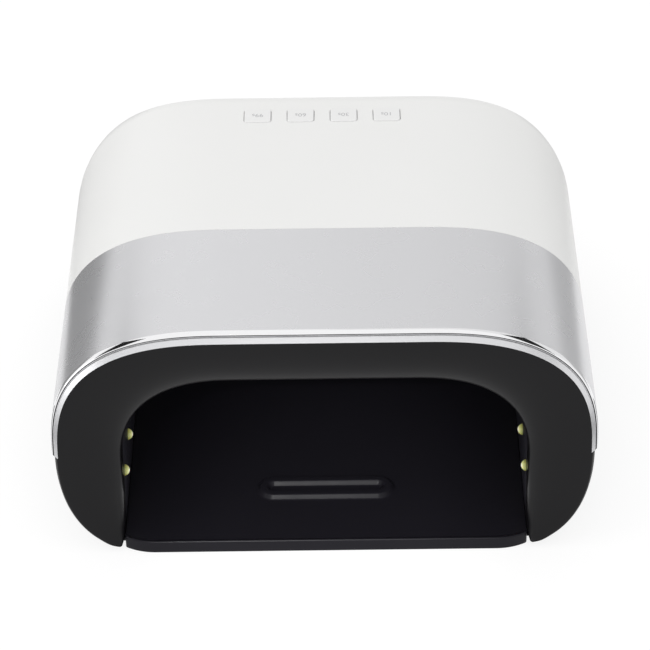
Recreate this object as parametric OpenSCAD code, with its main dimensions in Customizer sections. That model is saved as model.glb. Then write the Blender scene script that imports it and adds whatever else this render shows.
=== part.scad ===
// LED nail lamp: a low arched housing with a wide hand cavity, standing on a
// removable floor tray. The front faces -Y, the operator's side is +Y.
// The origin is at the middle of the footprint, on the table.

/* [Body] */
// Overall width across the silver band
body_w = 225; // [215:1:235]
// Overall depth, from the tray's front edge to the rear wall
body_d = 205; // [198:1:215]
// Overall height of the shell's deck
body_h = 102; // [98:1:106]
// Wall thickness of the moulded shells
wall = 2.2; // [1.8:0.1:2.6]
// Lean of the front plane away from the user, in degrees
front_lean = 7.54; // [5:0.1:9]
// Height of the parting line between upper and lower housing
parting_z = 46; // [42:1:50]
// Width of the upper corners, from the flat deck to the side
corner_w = 72.5; // [66:0.5:76]
// Height of the upper corners
corner_h = 54.5; // [50:0.5:55.5]
// Fullness of the upper corners: 2 is an ellipse and more is squarer
corner_power = 2.63; // [2:0.01:3]
// Radius of the rounded rear edge along the deck
rear_round = 15; // [10:0.5:18]
// Radius of the rounded rear edge along the sides
side_round = 30.5; // [20:0.5:32]
// Depth of the silver band behind the front plane, at the deck
seam_depth = 76.3; // [65:0.1:85]
// Lean of the silver band's rear edge, in degrees
seam_lean = 2.5; // [0:0.1:8]

/* [Lower housing] */
// Step from the upper shell in to the lower housing, on each side
lower_step = 1.5; // [1:0.1:2]
// How far the lower side curves in towards the foot
foot_run = 34.5; // [32:0.5:38]
// Height over which the lower side curves in
foot_rise = 45.7; // [44:0.1:45.7]
// Fullness of the lower side's curve
foot_power = 2.2; // [2:0.01:2.5]
// Radius of the rear wall's lower edge
heel_round = 14; // [10:0.5:18]

/* [Front] */
// Radial width of the bright chamfer strip and its groove
strip_w = 3; // [2.5:0.1:3.5]
// Depth of the band's front edge behind the front plane
band_setback = 5; // [4:0.1:6]
// Depth of the mouth's lip behind the front plane
lip_depth = 9.5; // [7:0.1:12]
// Depth at which the bezel meets the cavity liner
liner_depth = 16; // [14:0.5:20]

/* [Hand cavity] */
// Half of the cavity's width
cavity_hw = 84.2; // [80:0.1:86]
// Height of the cavity's ceiling above the table
cavity_h = 76.9; // [74:0.1:80]
// Width of the cavity's upper corners
cavity_corner_w = 47.7; // [40:0.1:50]
// Height of the cavity's upper corners
cavity_corner_h = 38.4; // [34:0.1:40]
// Fullness of the cavity's upper corners
cavity_power = 2.4; // [2:0.01:3]
// Place of the cavity's rear wall
cavity_rear = 73; // [68:1:76]
// Wall thickness of the cavity liner
liner_t = 2; // [1.6:0.1:2.4]

/* [Lights] */
// Diameter of a light's lens
bead_d = 5.4; // [4.8:0.1:5.6]
// Diameter of the hole for a light
bead_hole = 5.8; // [5.7:0.1:6.2]
// How far a lens stands proud of the liner
bead_proud = 2.3; // [1.8:0.1:2.6]
// Spacing of the lights along the cavity
bead_pitch = 24; // [22:1:26]
// Height of the side rows above the table
side_row_z = 25; // [22:1:30]
// Thickness of the light boards
led_board_t = 1.2; // [1:0.1:1.6]

/* [Buttons] */
// Width of a button
key_w = 11.6; // [10:0.1:13]
// Depth of a button, front to back
key_d = 10; // [8:0.1:11]
// Spacing of the four buttons
key_pitch = 19.3; // [18:0.1:21]
// Place of the button row
key_y = 76.6; // [74:0.1:79]
// Gap between a button and the deck
key_gap = 0.35; // [0.3:0.05:0.5]
// How far a button stands proud of the deck
key_proud = 0.4; // [0.2:0.1:0.8]
// How far a button can be pressed
key_travel = 0.6; // [0.4:0.05:0.8]

/* [Floor tray] */
// Half of the tray's width between the housing's feet
tray_hw = 83.3; // [80:0.1:83.5]
// Height of the tray's top face
tray_top = 5.3; // [4.8:0.1:5.8]
// Height of the tray's raised front lip
tray_lip = 6; // [5.9:0.1:6.5]
// Length of the finger rest
rest_l = 58; // [50:1:64]
// Width of the finger rest
rest_w = 14; // [12:0.5:16]
// Place of the finger rest
rest_y = -68.2; // [-72:0.1:-60]

/* [Power inlet] */
// Radius of the inlet's centre pin
pin_r = 1.05; // [1:0.05:1.25]
// Radius of the inlet's socket
socket_r = 3.2; // [3:0.1:3.4]
// Height of the inlet above the table
inlet_z = 27.1; // [26.5:0.1:28]

/* [Hidden] */

half_w = body_w / 2;
rear_y = body_d / 2;
lean = tan(front_lean);
lower_hw = half_w - lower_step;
lower_rear = rear_y - lower_step;
corner_x = half_w - corner_w;
corner_z = body_h - corner_h;
cavity_z = cavity_h - cavity_corner_h;
foot_x = lower_hw - foot_run;
deck_in = body_h - wall;

// Number of steps round an upper corner, a lower side and a filleted edge, and the
// step of the lower side at which the rear wall starts to curve
corner_steps = 20;
foot_steps = 12;
heel_start = 3;
round_steps = 7;

// Where the lower side ends on the housing and on the bezel, and the floor's faces
housing_tip_x = 88.5;
bezel_tip_x = 86.8;
floor_round = 13;
floor_z = 2.3;
floor_top = floor_z + wall;
ledge_x = 84.3;
ledge_y = cavity_rear + 0.3;
liner_foot = 5.2;

// Gap where two parts butt, and length of a cutter that goes right through a wall
butt_gap = 0.05;
through = 8;

// Tongue and rebate between shells: the tongue's outer face, its length and its play
tongue_out = 1.15;
tongue_l = 4;
lap_gap = 0.2;
housing_tongue = 0.9;

// Front edge, as distance in from the outline: bead, groove and shelf
bead_in = 0.75;
bead_top = 0.6;
bead_front = 2.65;
strip_out = 1.45;
strip_back = 1.72;
shelf_d = 2.9;

// Bezel: places of its bullnose's points, its depth behind the lower front edge,
// the sink of the bullnose at the foot, and the width at which it is at its deepest
nose_shares = [0.22, 0.42, 0.6, 0.76, 0.88, 0.96, 1];
bezel_back = 2.6;
foot_sink = 2;
full_width = 22;

// Bezel's feet: the lip's height at the tip, its slant outwards and the height at
// which that starts, the width of the rounded edge at the tip, and the thickness
// there, which is full where the bezel is as wide as thick_width
foot_lip_z = 1.95;
foot_slant = 2.3;
foot_slant_z = 5;
foot_edge = 0.7;
foot_skin = 1.5;
thick_width = 12;

// Light positions
side_leds = [for (i = [0 : 5]) -78 + i * bead_pitch];
ceiling_rows = [-42, -14, 14, 42];
ceiling_leds = [for (i = [0 : 4]) -58 + i * bead_pitch];
rear_leds = [-45, -15, 15, 45];
rear_row_z = 45;
sensor_y = 58;
sensor_r = 2.4;
sensor_hole_r = 2.6;
led_board_w = 18;
ceiling_board_w = 100;
rear_board_w = 110;

// Control board, hung under the deck, and its switches
control_z = 90;
control_t = 1.6;
control_w = 88;
control_front = 61;
control_back = 92;
control_posts = [for (x = [-39, 39], y = [66, 88]) [x, y]];
switch_w = 6.2;
switch_h = 3.6;
plunger_r = 1.7;
plunger_play = 0.06;
plunger_top = 96.6;
plunger_l = 3.4;
key_places = [for (i = [-1.5 : 1 : 1.5]) i * key_pitch];
key_flange = 1.1;

// Display in the rear wall
window_w = 34;
window_h = 17;
window_z = 68;
window_play = 0.15;

// Power board, its posts, and the inlet
power_z = 20;
power_t = 1.6;
power_w = 92;
power_front = 77.5;
power_back = 97.5;
power_part_y = 89;
power_posts = [for (x = [-42, -16, 16, 42]) [x, 82]];
jack_w = 9;
jack_h = 11;
jack_front = 86;
nose_r = 4;
pin_seat_r = 2;
pin_seat_y = 88;
pin_base_y = 91.5;
pin_tip_y = 99.5;
vent_n = 5;
vent_pitch = 5;
vent_x = 26;
vent_z = 33;
vent_h = 12;
vent_r = 1;

// Screw columns: place, radius, where they meet and end, and the web under the shaft
column_x = 70;
column_y = 80.5;
column_r = 4.5;
column_top = 52;
column_end = 98.4;
column_web = 6;

// Screws of the boards and of the housing: shaft, pilot hole, clearance hole and head
post_r = 3;
small_shaft_r = 0.95;
small_shaft_l = 8;
small_pilot_r = 1;
small_clear_r = 1.4;
small_head_r = 2.2;
small_head_h = 1.6;
large_shaft_r = 1.2;
large_shaft_l = 17;
large_pilot_r = 1.25;
large_clear_r = 1.6;
large_head_r = 2.8;
large_head_h = 2.2;

// Magnets and keepers at the rear, and heights of the tray
magnet_x = 57;
magnet_y = 81.5;
magnet_r = 5;
magnet_h = 3;
keeper_r = 6;
keeper_h = 1;
tray_low = 0.8;
wing_top = 2.2;
wing_out = 5.2;
wing_front = -85;
wing_back = 88.5;
wing_round = 12;
tray_back = cavity_rear - 0.4;

// Front corners of the tray: a wide arc, its turn, and the small arc that ends it
tray_arc = 13;
tray_turn = 38;
tray_corner = 1.5;
lip_w = 2.8;
lip_soft = 0.35;
pad_r = 5;
pad_x = 72;
pad_front = -91;
pad_back = 78;

$fn = 48;

function lerp(a, b, t) = a + (b - a) * t;

// Place on the leaning front plane, at height z and d behind it
function front_y(z, d) = -rear_y + lean * z + d;

// Place on the silver band's rear edge, which leans less, and d behind it
function seam_y(z, d) = front_y(body_h, seam_depth) + tan(seam_lean) * (z - body_h) + d;

// A station is a point of an outline and its outward normal: [x, z, nx, nz].
// It lies on a corner round the centre c, of half-axes a and b and fullness p.
function round_station(c, a, b, p, t) =
    let (
        n = [pow(cos(t), 2 - 2 / p) / a, pow(sin(t), 2 - 2 / p) / b],
        u = n / norm(n)
    )
    [c[0] + a * pow(cos(t), 2 / p), c[1] + b * pow(sin(t), 2 / p), u[0], u[1]];

function flipped(list) =
    [for (i = [len(list) - 1 : -1 : 0]) [-list[i][0], list[i][1], -list[i][2], list[i][3]]];

upper_right = concat(
    [[half_w, parting_z, 1, 0]],
    [for (i = [0 : corner_steps])
        round_station([corner_x, corner_z], corner_w, corner_h, corner_power, 90 * i / corner_steps)]
);
upper_arch = concat(upper_right, flipped(upper_right));

// The same arch for the trims, which stop short of the bezel's shoulder
shoulder_z = parting_z + 0.3;
trim_right = [for (i = [0 : corner_steps + 1])
    i == 0 ? [half_w, shoulder_z, 1, 0] : upper_right[i]];
trim_arch = concat(trim_right, flipped(trim_right));

// Point at a station, r in from the outline and d behind the front plane
function inset(s, r) = [s[0] - r * s[2], s[1] - r * s[3]];
function on_front(s, r, d) =
    let (q = inset(s, r))
    [q[0], front_y(q[1], d), q[1]];
function on_seam(s, r, d) =
    let (q = inset(s, r))
    [q[0], seam_y(q[1], d), q[1]];
function at_y(s, r, y) =
    let (q = inset(s, r))
    [q[0], y, q[1]];

function backwards(list) = [for (i = [len(list) - 1 : -1 : 0]) list[i]];

// A ring is an outer run of points and an inner run of as many, taken backwards.
// It turns the right way when the outer run goes from front to back and the
// stations run from right to left.
function ring(outer, inner) = concat(outer, backwards(inner));

function triangle_area(a, b, c) = norm(cross(b - a, c - a)) / 2;

// Closed skin over rings of equal length, with strips across both ends.
// A patch is cut along its other diagonal where the first would leave a sliver.
module skin(rows) {
    n = len(rows);
    p = len(rows[0]);
    last = (n - 1) * p;
    points = [for (row = rows, q = row) q];
    sliver = 0.001;
    sides = [for (i = [0 : n - 2], k = [0 : p - 1])
        let (
            a = i * p + k,
            b = i * p + (k + 1) % p,
            c = b + p,
            d = a + p,
            thin = min(
                triangle_area(points[a], points[c], points[b]),
                triangle_area(points[a], points[d], points[c])
            ) < sliver
        )
        each (thin ? [[a, d, b], [b, d, c]] : [[a, c, b], [a, d, c]])];
    ends = [for (k = [0 : p / 2 - 2])
        let (a = k, b = k + 1, c = p - 2 - k, d = p - 1 - k)
        each [[a, b, c], [a, c, d], [last + a, last + c, last + b], [last + a, last + d, last + c]]];
    polyhedron(points, concat(sides, ends), convexity = 10);
}

// Rounded rectangle with true arcs
module rounded(w, d, r) {
    square([w - 2 * r, d], center = true);
    square([w, d - 2 * r], center = true);
    for (x = [-1, 1], y = [-1, 1])
        translate([x * (w / 2 - r), y * (d / 2 - r)]) circle(r);
}

// Extrusion with its profile in X and Z, running back along Y
module along_y(y0, y1) {
    translate([0, y1, 0]) rotate([90, 0, 0]) linear_extrude(y1 - y0) children();
}

// Everything in front of the plane at depth d
module ahead_of(d) {
    size = 2 * body_w;
    translate([0, front_y(0, d), 0])
        rotate([-front_lean, 0, 0])
            translate([0, -size / 2, 0]) cube(size, center = true);
}

/* Upper shell */

// The rear edge is rounded more the more its station faces sideways
function shell_ring(s, i, n) =
    let (
        fillet = [for (k = [0 : round_steps]) 90 * k / round_steps],
        outer_round = lerp(rear_round, side_round, s[2] * s[2]),
        inner_round = outer_round - wall,
        base_hw = half_w - side_round - 1,
        base_x = lerp(base_hw, -base_hw, i / (n - 1))
    )
    ring(
        concat(
            [for (d = [0, tongue_l - 1, tongue_l + 1]) on_seam(s, 0, d)],
            [for (t = fillet)
                at_y(s, outer_round * (1 - cos(t)), rear_y - outer_round * (1 - sin(t)))],
            [[base_x, rear_y, parting_z]]
        ),
        concat(
            [on_seam(s, tongue_out - lap_gap / 2, 0)],
            [on_seam(s, tongue_out - lap_gap / 2, tongue_l + lap_gap)],
            [on_seam(s, wall, tongue_l + lap_gap)],
            [for (t = fillet)
                at_y(s, outer_round - inner_round * cos(t), rear_y - outer_round + inner_round * sin(t))],
            [[base_x, rear_y - wall, parting_z]]
        )
    );

module key_hole() {
    rounded(key_w + 2 * key_gap, key_d + 2 * key_gap, 1.5 + key_gap);
}

module top_shell() {
    n = len(upper_arch);
    color("whitesmoke")
    difference() {
        union() {
            skin([for (i = [0 : n - 1]) shell_ring(upper_arch[i], i, n)]);
            for (p = control_posts)
                translate([p[0], p[1], control_z + control_t])
                    cylinder(r = post_r, h = deck_in - control_z - control_t + 0.5);
            for (x = [-column_x, column_x])
                translate([x, column_y, column_top])
                    cylinder(r = column_r, h = column_end - column_top);
        }
        for (x = key_places)
            translate([x, key_y, deck_in - wall]) linear_extrude(through) key_hole();
        along_y(rear_y - wall - 5, rear_y + 5)
            translate([0, window_z]) rounded(window_w, window_h, 2);
        for (p = control_posts)
            translate([p[0], p[1], control_z]) cylinder(r = small_pilot_r, h = small_shaft_l);
        for (x = [-column_x, column_x])
            translate([x, column_y, column_top - 1]) cylinder(r = large_pilot_r, h = 14);
    }
}

/* Silver band and the bright edge round the front */

module front_band() {
    color("silver")
    skin([for (s = upper_arch) ring(
        [
            on_front(s, 0, band_setback),
            on_seam(s, 0, 0),
            on_seam(s, tongue_out, 0),
            on_seam(s, tongue_out, tongue_l)
        ],
        concat(
            [on_front(s, wall, band_setback)],
            [for (d = [-1, 0.5, tongue_l]) on_seam(s, wall, d)]
        )
    )]);
}

module chrome_trim() {
    steps = 4;
    run = band_setback - bead_front;
    color("lightgray")
    skin([for (s = backwards(trim_arch)) ring(
        [for (k = [0 : steps])
            let (t = 90 * k / steps)
            on_front(s, bead_top * (1 - cos(t)), band_setback - run * sin(t))],
        [for (k = [0 : steps]) on_front(s, bead_in, band_setback - run * sin(90 * k / steps))]
    )]);
}

module front_strip() {
    color("gainsboro")
    skin([for (s = backwards(trim_arch)) ring(
        [on_front(s, strip_out, shelf_d), on_front(s, strip_out, strip_back)],
        [on_front(s, strip_w, shelf_d), on_front(s, strip_w, 0)]
    )]);
}

/* Bezel: a bullnose that runs from the bright edge in to the mouth's lip */

// Angle of the lower side's curve at a place, and the station at an angle
function foot_angle(x) = acos(pow((x - foot_x) / foot_run, foot_power / 2));
function foot_station(t) =
    let (s = round_station([foot_x, 0], foot_run, foot_rise, foot_power, t))
    [s[0], parting_z - s[1], s[2], -s[3]];

function cavity_station(t) =
    round_station([cavity_hw - cavity_corner_w, cavity_z], cavity_corner_w, cavity_corner_h, cavity_power, t);

// The bezel's stations, each [outline station, lip point, width of the rounded front
// edge, whether it is on the upper shell]. The edge narrows towards the foot's tip.
bezel_angle = foot_angle(bezel_tip_x);
foot_tip_z = foot_station(bezel_angle)[1];
bezel_right = concat(
    [for (i = [0 : foot_steps])
        let (
            s = foot_station(bezel_angle * (1 - i / foot_steps)),
            z = lerp(foot_lip_z, cavity_z, (s[1] - foot_tip_z) / (parting_z - foot_tip_z)),
            x = cavity_hw + foot_slant * max(0, 1 - z / foot_slant_z)
        )
        [s, [x, z], min(lower_step, foot_edge * (1 + i / 2)), 0]],
    [for (i = [0 : corner_steps + 1])
        let (
            lip = cavity_station(90 * i / (corner_steps + 1)),
            z = max(lip[1], cavity_z + shoulder_z - parting_z)
        )
        [trim_right[i], [lip[0], z], strip_w, 1]]
);
bezel_left = [for (i = [len(bezel_right) - 1 : -1 : 0])
    let (b = bezel_right[i])
    [[-b[0][0], b[0][1], -b[0][2], b[0][3]], [-b[1][0], b[1][1]], b[2], b[3]]];

// One ring of the bezel: its outer edge, the bullnose, and the flange to the liner.
// The bullnose sinks less where the bezel is narrow.
function bezel_ring(b) =
    let (
        s = b[0],
        edge_r = b[2],
        up = b[3],
        back_d = up ? band_setback : bezel_back,
        edge = inset(s, edge_r),
        width = norm(b[1] - edge),
        skin_t = min(wall, width / 2) / width,
        sink = lerp(foot_sink, lip_depth, min(1, width / full_width)),
        back = lerp(foot_skin, wall + 0.3, min(1, width / thick_width)),
        nose = function (u) sink * (1 - sqrt(1 - u * u)),
        place = function (u, d)
            let (q = lerp(edge, b[1], u))
            [q[0], front_y(q[1], d), q[1]]
    )
    ring(
        concat(
            [for (q = up ? [[bead_in, back_d], [bead_in, shelf_d], [edge_r, shelf_d]]
                         : [[0.3 * edge_r, back_d], [0.3 * edge_r, 1.1], [0.65 * edge_r, 0.35]])
                on_front(s, q[0], q[1])],
            [place(0, 0)],
            [for (u = nose_shares) place(u, nose(u))],
            [place(1, liner_depth)]
        ),
        concat(
            [place(0, back_d)],
            [for (u = [0.03, 0.06, 0.09]) place(u, back + nose(u))],
            [for (u = nose_shares)
                let (v = u * (1 - skin_t))
                place(v, back + nose(v))],
            [place(1 - skin_t, liner_depth)]
        )
    );

module front_bezel() {
    color([0.12, 0.12, 0.13])
    skin([for (b = backwards(concat(bezel_right, bezel_left))) bezel_ring(b)]);
}

/* Cavity liner */

module liner_section(grow, low) {
    right = concat(
        [[cavity_hw + grow, low]],
        [for (i = [0 : corner_steps]) inset(cavity_station(90 * i / corner_steps), -grow)]
    );
    left = [for (q = backwards(right)) [-q[0], q[1]]];
    polygon(concat(right, left));
}

module cavity_liner() {
    color([0.07, 0.07, 0.08])
    difference() {
        along_y(-rear_y, cavity_rear + liner_t) liner_section(liner_t, liner_foot);
        along_y(-rear_y - 5, cavity_rear) liner_section(0, 0);
        ahead_of(liner_depth + butt_gap);
        for (side = [-1, 1], y = side_leds)
            translate([side * (cavity_hw - liner_t), y, side_row_z])
                rotate([0, side * 90, 0]) cylinder(d = bead_hole, h = through);
        for (x = ceiling_rows, y = ceiling_leds)
            translate([x, y, cavity_h - liner_t]) cylinder(d = bead_hole, h = through);
        for (x = rear_leds)
            translate([x, cavity_rear - liner_t, rear_row_z])
                rotate([-90, 0, 0]) cylinder(d = bead_hole, h = through);
        translate([0, sensor_y, cavity_h - liner_t]) cylinder(r = sensor_hole_r, h = through);
    }
}

/* Lower housing: a gutter that runs down one side, across the back and up the other */

// Side profile: [distance from the middle plane, height], at step k, r in from the face
function side_point(k, r) =
    let (q = inset(foot_station(foot_angle(housing_tip_x) * k / foot_steps), r))
    k == foot_steps + 1 ? [ledge_x, r > 0 ? floor_top : floor_z] : [q[0], q[1]];

// Rear profile: [place along Y, height]
function heel_point(k, r) =
    let (
        t = 90 * max(0, k - heel_start) / (foot_steps - heel_start),
        top = floor_z + heel_round,
        straight_z = lerp(parting_z, top, min(1, k / heel_start))
    )
    k == foot_steps + 1
        ? [ledge_y, r > 0 ? floor_top : floor_z]
        : [
            lower_rear - heel_round + (heel_round - r) * cos(t),
            k < heel_start ? straight_z : top - (heel_round - r) * sin(t)
        ];

// One point of the gutter: its side and rear places, corner radius and front depth
function gutter_point(side, rear, radius, d, turn) =
    let (
        z = lerp(side[1], rear[1], pow(sin(turn), 2)),
        x = side[0] - radius + radius * cos(turn),
        y = rear[0] - radius + radius * sin(turn)
    )
    d == undef ? [x, y, z] : [side[0], front_y(side[1], d), side[1]];

function gutter_ring(front, turn, flip) =
    let (
        round_r = side_round - lower_step,
        tongue_z = parting_z + tongue_l,
        tongue_d = band_setback + 1,
        rim_d = bezel_back + 0.1,
        tongue = function (r, z, d)
            gutter_point([lower_hw - r, z], [lower_rear - r, z], round_r - r, front ? d : undef, turn),
        wall_point = function (k, r, d)
            gutter_point(
                side_point(k, r), heel_point(k, r),
                k > foot_steps ? 1 : lerp(round_r, floor_round, k / foot_steps) - r,
                front ? d : undef, turn
            ),
        turned = ring(
            concat(
                [tongue(housing_tongue, tongue_z, tongue_d), tongue(housing_tongue, parting_z, tongue_d)],
                [for (k = [0 : foot_steps + 1]) wall_point(k, 0, rim_d)]
            ),
            concat(
                [tongue(wall, tongue_z, tongue_d), tongue(wall, parting_z + 1, tongue_d)],
                [for (k = [0 : foot_steps + 1]) wall_point(k, wall, rim_d)]
            )
        )
    )
    flip ? [for (q = turned) [-q[0], q[1], q[2]]] : turned;

module gutter() {
    turns = [for (i = [0 : round_steps]) 90 * i / round_steps];
    skin(concat(
        [gutter_ring(true, 0, false)],
        [for (t = turns) gutter_ring(false, t, false)],
        [for (i = [round_steps : -1 : 0]) gutter_ring(false, turns[i], true)],
        [gutter_ring(true, 0, true)]
    ));
}

module vent_slots() {
    half_l = vent_h / 2 - vent_r;
    for (side = [-1, 1], i = [0 : vent_n - 1])
        translate([side * (vent_x + i * vent_pitch), vent_z])
            union() {
                square([2 * vent_r, 2 * half_l], center = true);
                for (z = [-half_l, half_l]) translate([0, z]) circle(vent_r);
            }
}

// Room in the foot for the bezel's flange
module flange_notch(side) {
    low = 1.5;
    high = 6;
    in = cavity_hw - 1;
    out = cavity_hw + 3.2;
    front = front_y(low, bezel_back);
    back = front_y(high, liner_depth + 0.2);
    translate([side > 0 ? in : -out, front, low])
        cube([out - in, back - front, high - low]);
}

module lower_housing() {
    root_z = floor_z + 0.5;
    color([0.13, 0.13, 0.14])
    difference() {
        union() {
            gutter();
            for (x = [-column_x, column_x])
                translate([x, column_y, root_z]) cylinder(r = column_r, h = column_top - root_z);
            for (p = power_posts)
                translate([p[0], p[1], root_z]) cylinder(r = post_r, h = power_z - root_z);
            for (x = [-magnet_x, magnet_x])
                translate([x, magnet_y, root_z]) cylinder(r = magnet_r + 1.2, h = wall + 2);
        }
        for (x = [-column_x, column_x])
            translate([x, column_y, 0]) {
                cylinder(r = large_head_r + 0.4, h = column_top - column_web);
                cylinder(r = large_clear_r, h = column_top + 1);
            }
        for (p = power_posts)
            translate([p[0], p[1], power_z - small_shaft_l]) cylinder(r = small_pilot_r, h = 2 * through);
        for (x = [-magnet_x, magnet_x])
            translate([x, magnet_y, floor_top]) cylinder(r = magnet_r + 0.1, h = through);
        for (side = [-1, 1]) flange_notch(side);
        along_y(lower_rear - wall - 2, lower_rear + 2) {
            translate([0, inlet_z]) circle(nose_r + 0.25);
            vent_slots();
        }
    }
}

/* Lights, their boards and the hand sensor */

// A lens pointing along +Z, seated with its back face on the board
module bead() {
    stem = liner_t + bead_proud - bead_d / 2;
    cylinder(d = bead_d, h = stem);
    translate([0, 0, stem])
        intersection() {
            sphere(d = bead_d);
            cylinder(d = bead_d + 1, h = bead_d);
        }
}

module leds_ceiling() {
    color([0.86, 0.86, 0.45])
    for (x = ceiling_rows, y = ceiling_leds)
        translate([x, y, cavity_h + liner_t]) rotate([180, 0, 0]) bead();
}

module side_beads(side) {
    color([0.86, 0.86, 0.45])
    for (y = side_leds)
        translate([side * (cavity_hw + liner_t), y, side_row_z]) rotate([0, -side * 90, 0]) bead();
}

module leds_left() { side_beads(-1); }
module leds_right() { side_beads(1); }

module leds_rear() {
    color([0.86, 0.86, 0.45])
    for (x = rear_leds)
        translate([x, cavity_rear + liner_t, rear_row_z]) rotate([90, 0, 0]) bead();
}

module led_board_ceiling() {
    first = ceiling_leds[0] - 10;
    color([0.9, 0.9, 0.92])
    difference() {
        translate([-ceiling_board_w / 2, first, cavity_h + liner_t])
            cube([ceiling_board_w, sensor_y + 6 - first, led_board_t]);
        translate([0, sensor_y, cavity_h]) cylinder(r = sensor_hole_r, h = through);
    }
}

module side_board(side) {
    first = side_leds[0] - 3.5;
    reach = side_leds[5] + 8 - first;
    x = cavity_hw + liner_t;
    color([0.9, 0.9, 0.92])
    translate([side > 0 ? x : -x - led_board_t, first, side_row_z - led_board_w / 2])
        cube([led_board_t, reach, led_board_w]);
}

module led_board_left() { side_board(-1); }
module led_board_right() { side_board(1); }

module led_board_rear() {
    color([0.9, 0.9, 0.92])
    translate([-rear_board_w / 2, cavity_rear + liner_t, rear_row_z - led_board_w / 2])
        cube([rear_board_w, led_board_t, led_board_w]);
}

module hand_sensor() {
    color([0.1, 0.05, 0.08])
    translate([0, sensor_y, cavity_h + 0.4]) cylinder(r = sensor_r, h = 5.4);
}

/* Control board with four switches */

module control_board() {
    color([0.1, 0.35, 0.18])
    difference() {
        translate([-control_w / 2, control_front, control_z])
            cube([control_w, control_back - control_front, control_t]);
        for (p = control_posts)
            translate([p[0], p[1], control_z - 1]) cylinder(r = small_clear_r, h = through);
    }
}

// The plunger's bore is a little deeper than the key's travel
module switch_bodies() {
    bore_floor = plunger_top - plunger_l - key_travel - 0.2;
    color([0.15, 0.15, 0.16])
    for (x = key_places)
        difference() {
            translate([x - switch_w / 2, key_y - switch_w / 2, control_z + control_t])
                cube([switch_w, switch_w, switch_h]);
            translate([x, key_y, bore_floor]) cylinder(r = plunger_r + plunger_play, h = through);
        }
}

// A screw with its head below the seat and its tip pointing up
module screw(shaft_r, shaft_l, head_r, head_h) {
    cylinder(r = shaft_r, h = shaft_l);
    translate([0, 0, -head_h])
        difference() {
            cylinder(r = head_r, h = head_h);
            translate([0, 0, -0.1]) cylinder(r = head_r * 0.4, h = head_h * 0.5);
        }
}

module control_screws() {
    color("dimgray")
    for (p = control_posts)
        translate([p[0], p[1], control_z])
            screw(small_shaft_r, small_shaft_l - 1, small_head_r, small_head_h);
}

/* Buttons */

module button(i) {
    top = body_h + key_proud;
    flange_top = deck_in - 0.1;
    edge = 0.3;
    color("white")
    translate([key_places[i], key_y, 0]) {
        translate([0, 0, top - edge]) linear_extrude(edge) rounded(key_w - 2 * edge, key_d - 2 * edge, 1.3);
        translate([0, 0, flange_top]) linear_extrude(top - edge - flange_top) rounded(key_w, key_d, 1.5);
        translate([0, 0, flange_top - key_flange])
            linear_extrude(key_flange) rounded(key_w + 2, key_d + 2, 2);
        translate([0, 0, plunger_top]) cylinder(r = 2, h = flange_top - plunger_top);
    }
}

module plunger(i) {
    color([0.2, 0.2, 0.22])
    translate([key_places[i], key_y, plunger_top - plunger_l]) cylinder(r = plunger_r, h = plunger_l);
}

module button_99() { button(0); }
module button_60() { button(1); }
module button_30() { button(2); }
module button_10() { button(3); }
module plunger_99() { plunger(0); }
module plunger_60() { plunger(1); }
module plunger_30() { plunger(2); }
module plunger_10() { plunger(3); }

/* Display in the rear wall */

module display_window() {
    lip = 1;
    color([0.05, 0.05, 0.06])
    union() {
        along_y(rear_y - wall, rear_y - 0.1)
            translate([0, window_z])
                rounded(window_w - 2 * window_play, window_h - 2 * window_play, 1.8);
        along_y(rear_y - wall - lip, rear_y - wall)
            translate([0, window_z]) rounded(window_w + 4, window_h + 4, 2);
    }
}

module display_module() {
    face = rear_y - wall - 1;
    color([0.2, 0.2, 0.2])
    union() {
        translate([-15, face - 7, window_z - 7]) cube([30, 7, 14]);
        translate([-19, face - 8.6, window_z - 10]) cube([38, 1.6, 20]);
    }
}

/* Power board and inlet */

module power_board() {
    color([0.1, 0.35, 0.18])
    difference() {
        translate([-power_w / 2, power_front, power_z])
            cube([power_w, power_back - power_front, power_t]);
        for (p = power_posts)
            translate([p[0], p[1], power_z - 1]) cylinder(r = small_clear_r, h = through);
    }
}

module power_screws() {
    color("dimgray")
    for (p = power_posts)
        translate([p[0], p[1], power_z + power_t])
            rotate([180, 0, 0]) screw(small_shaft_r, small_shaft_l, small_head_r, small_head_h);
}

module capacitors() {
    can_r = 4;
    can_h = 12;
    color([0.12, 0.14, 0.3])
    for (x = [-33, -24])
        translate([x, power_part_y, power_z + power_t])
            union() {
                cylinder(r = can_r, h = can_h);
                translate([0, 0, can_h]) cylinder(r = can_r - 0.4, h = 0.5);
            }
}

module inductor() {
    flange_r = 6;
    flange_h = 1.5;
    bobbin_r = 4.5;
    bobbin_h = 8;
    color([0.25, 0.22, 0.2])
    translate([28, power_part_y, power_z + power_t])
        union() {
            cylinder(r = flange_r, h = flange_h);
            cylinder(r = bobbin_r, h = bobbin_h);
            translate([0, 0, bobbin_h - flange_h]) cylinder(r = flange_r, h = flange_h);
        }
}

module dc_jack() {
    inner_face = lower_rear - wall;
    color([0.08, 0.08, 0.09])
    difference() {
        union() {
            translate([-jack_w / 2, jack_front, power_z + power_t])
                cube([jack_w, inner_face - 0.1 - jack_front, jack_h]);
            translate([0, inner_face - 1, inlet_z]) rotate([-90, 0, 0]) cylinder(r = nose_r, h = wall + 1);
        }
        translate([0, pin_base_y, inlet_z]) rotate([-90, 0, 0]) cylinder(r = socket_r, h = 2 * through);
        translate([0, pin_seat_y, inlet_z]) rotate([-90, 0, 0]) cylinder(r = pin_seat_r, h = through);
    }
}

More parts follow.
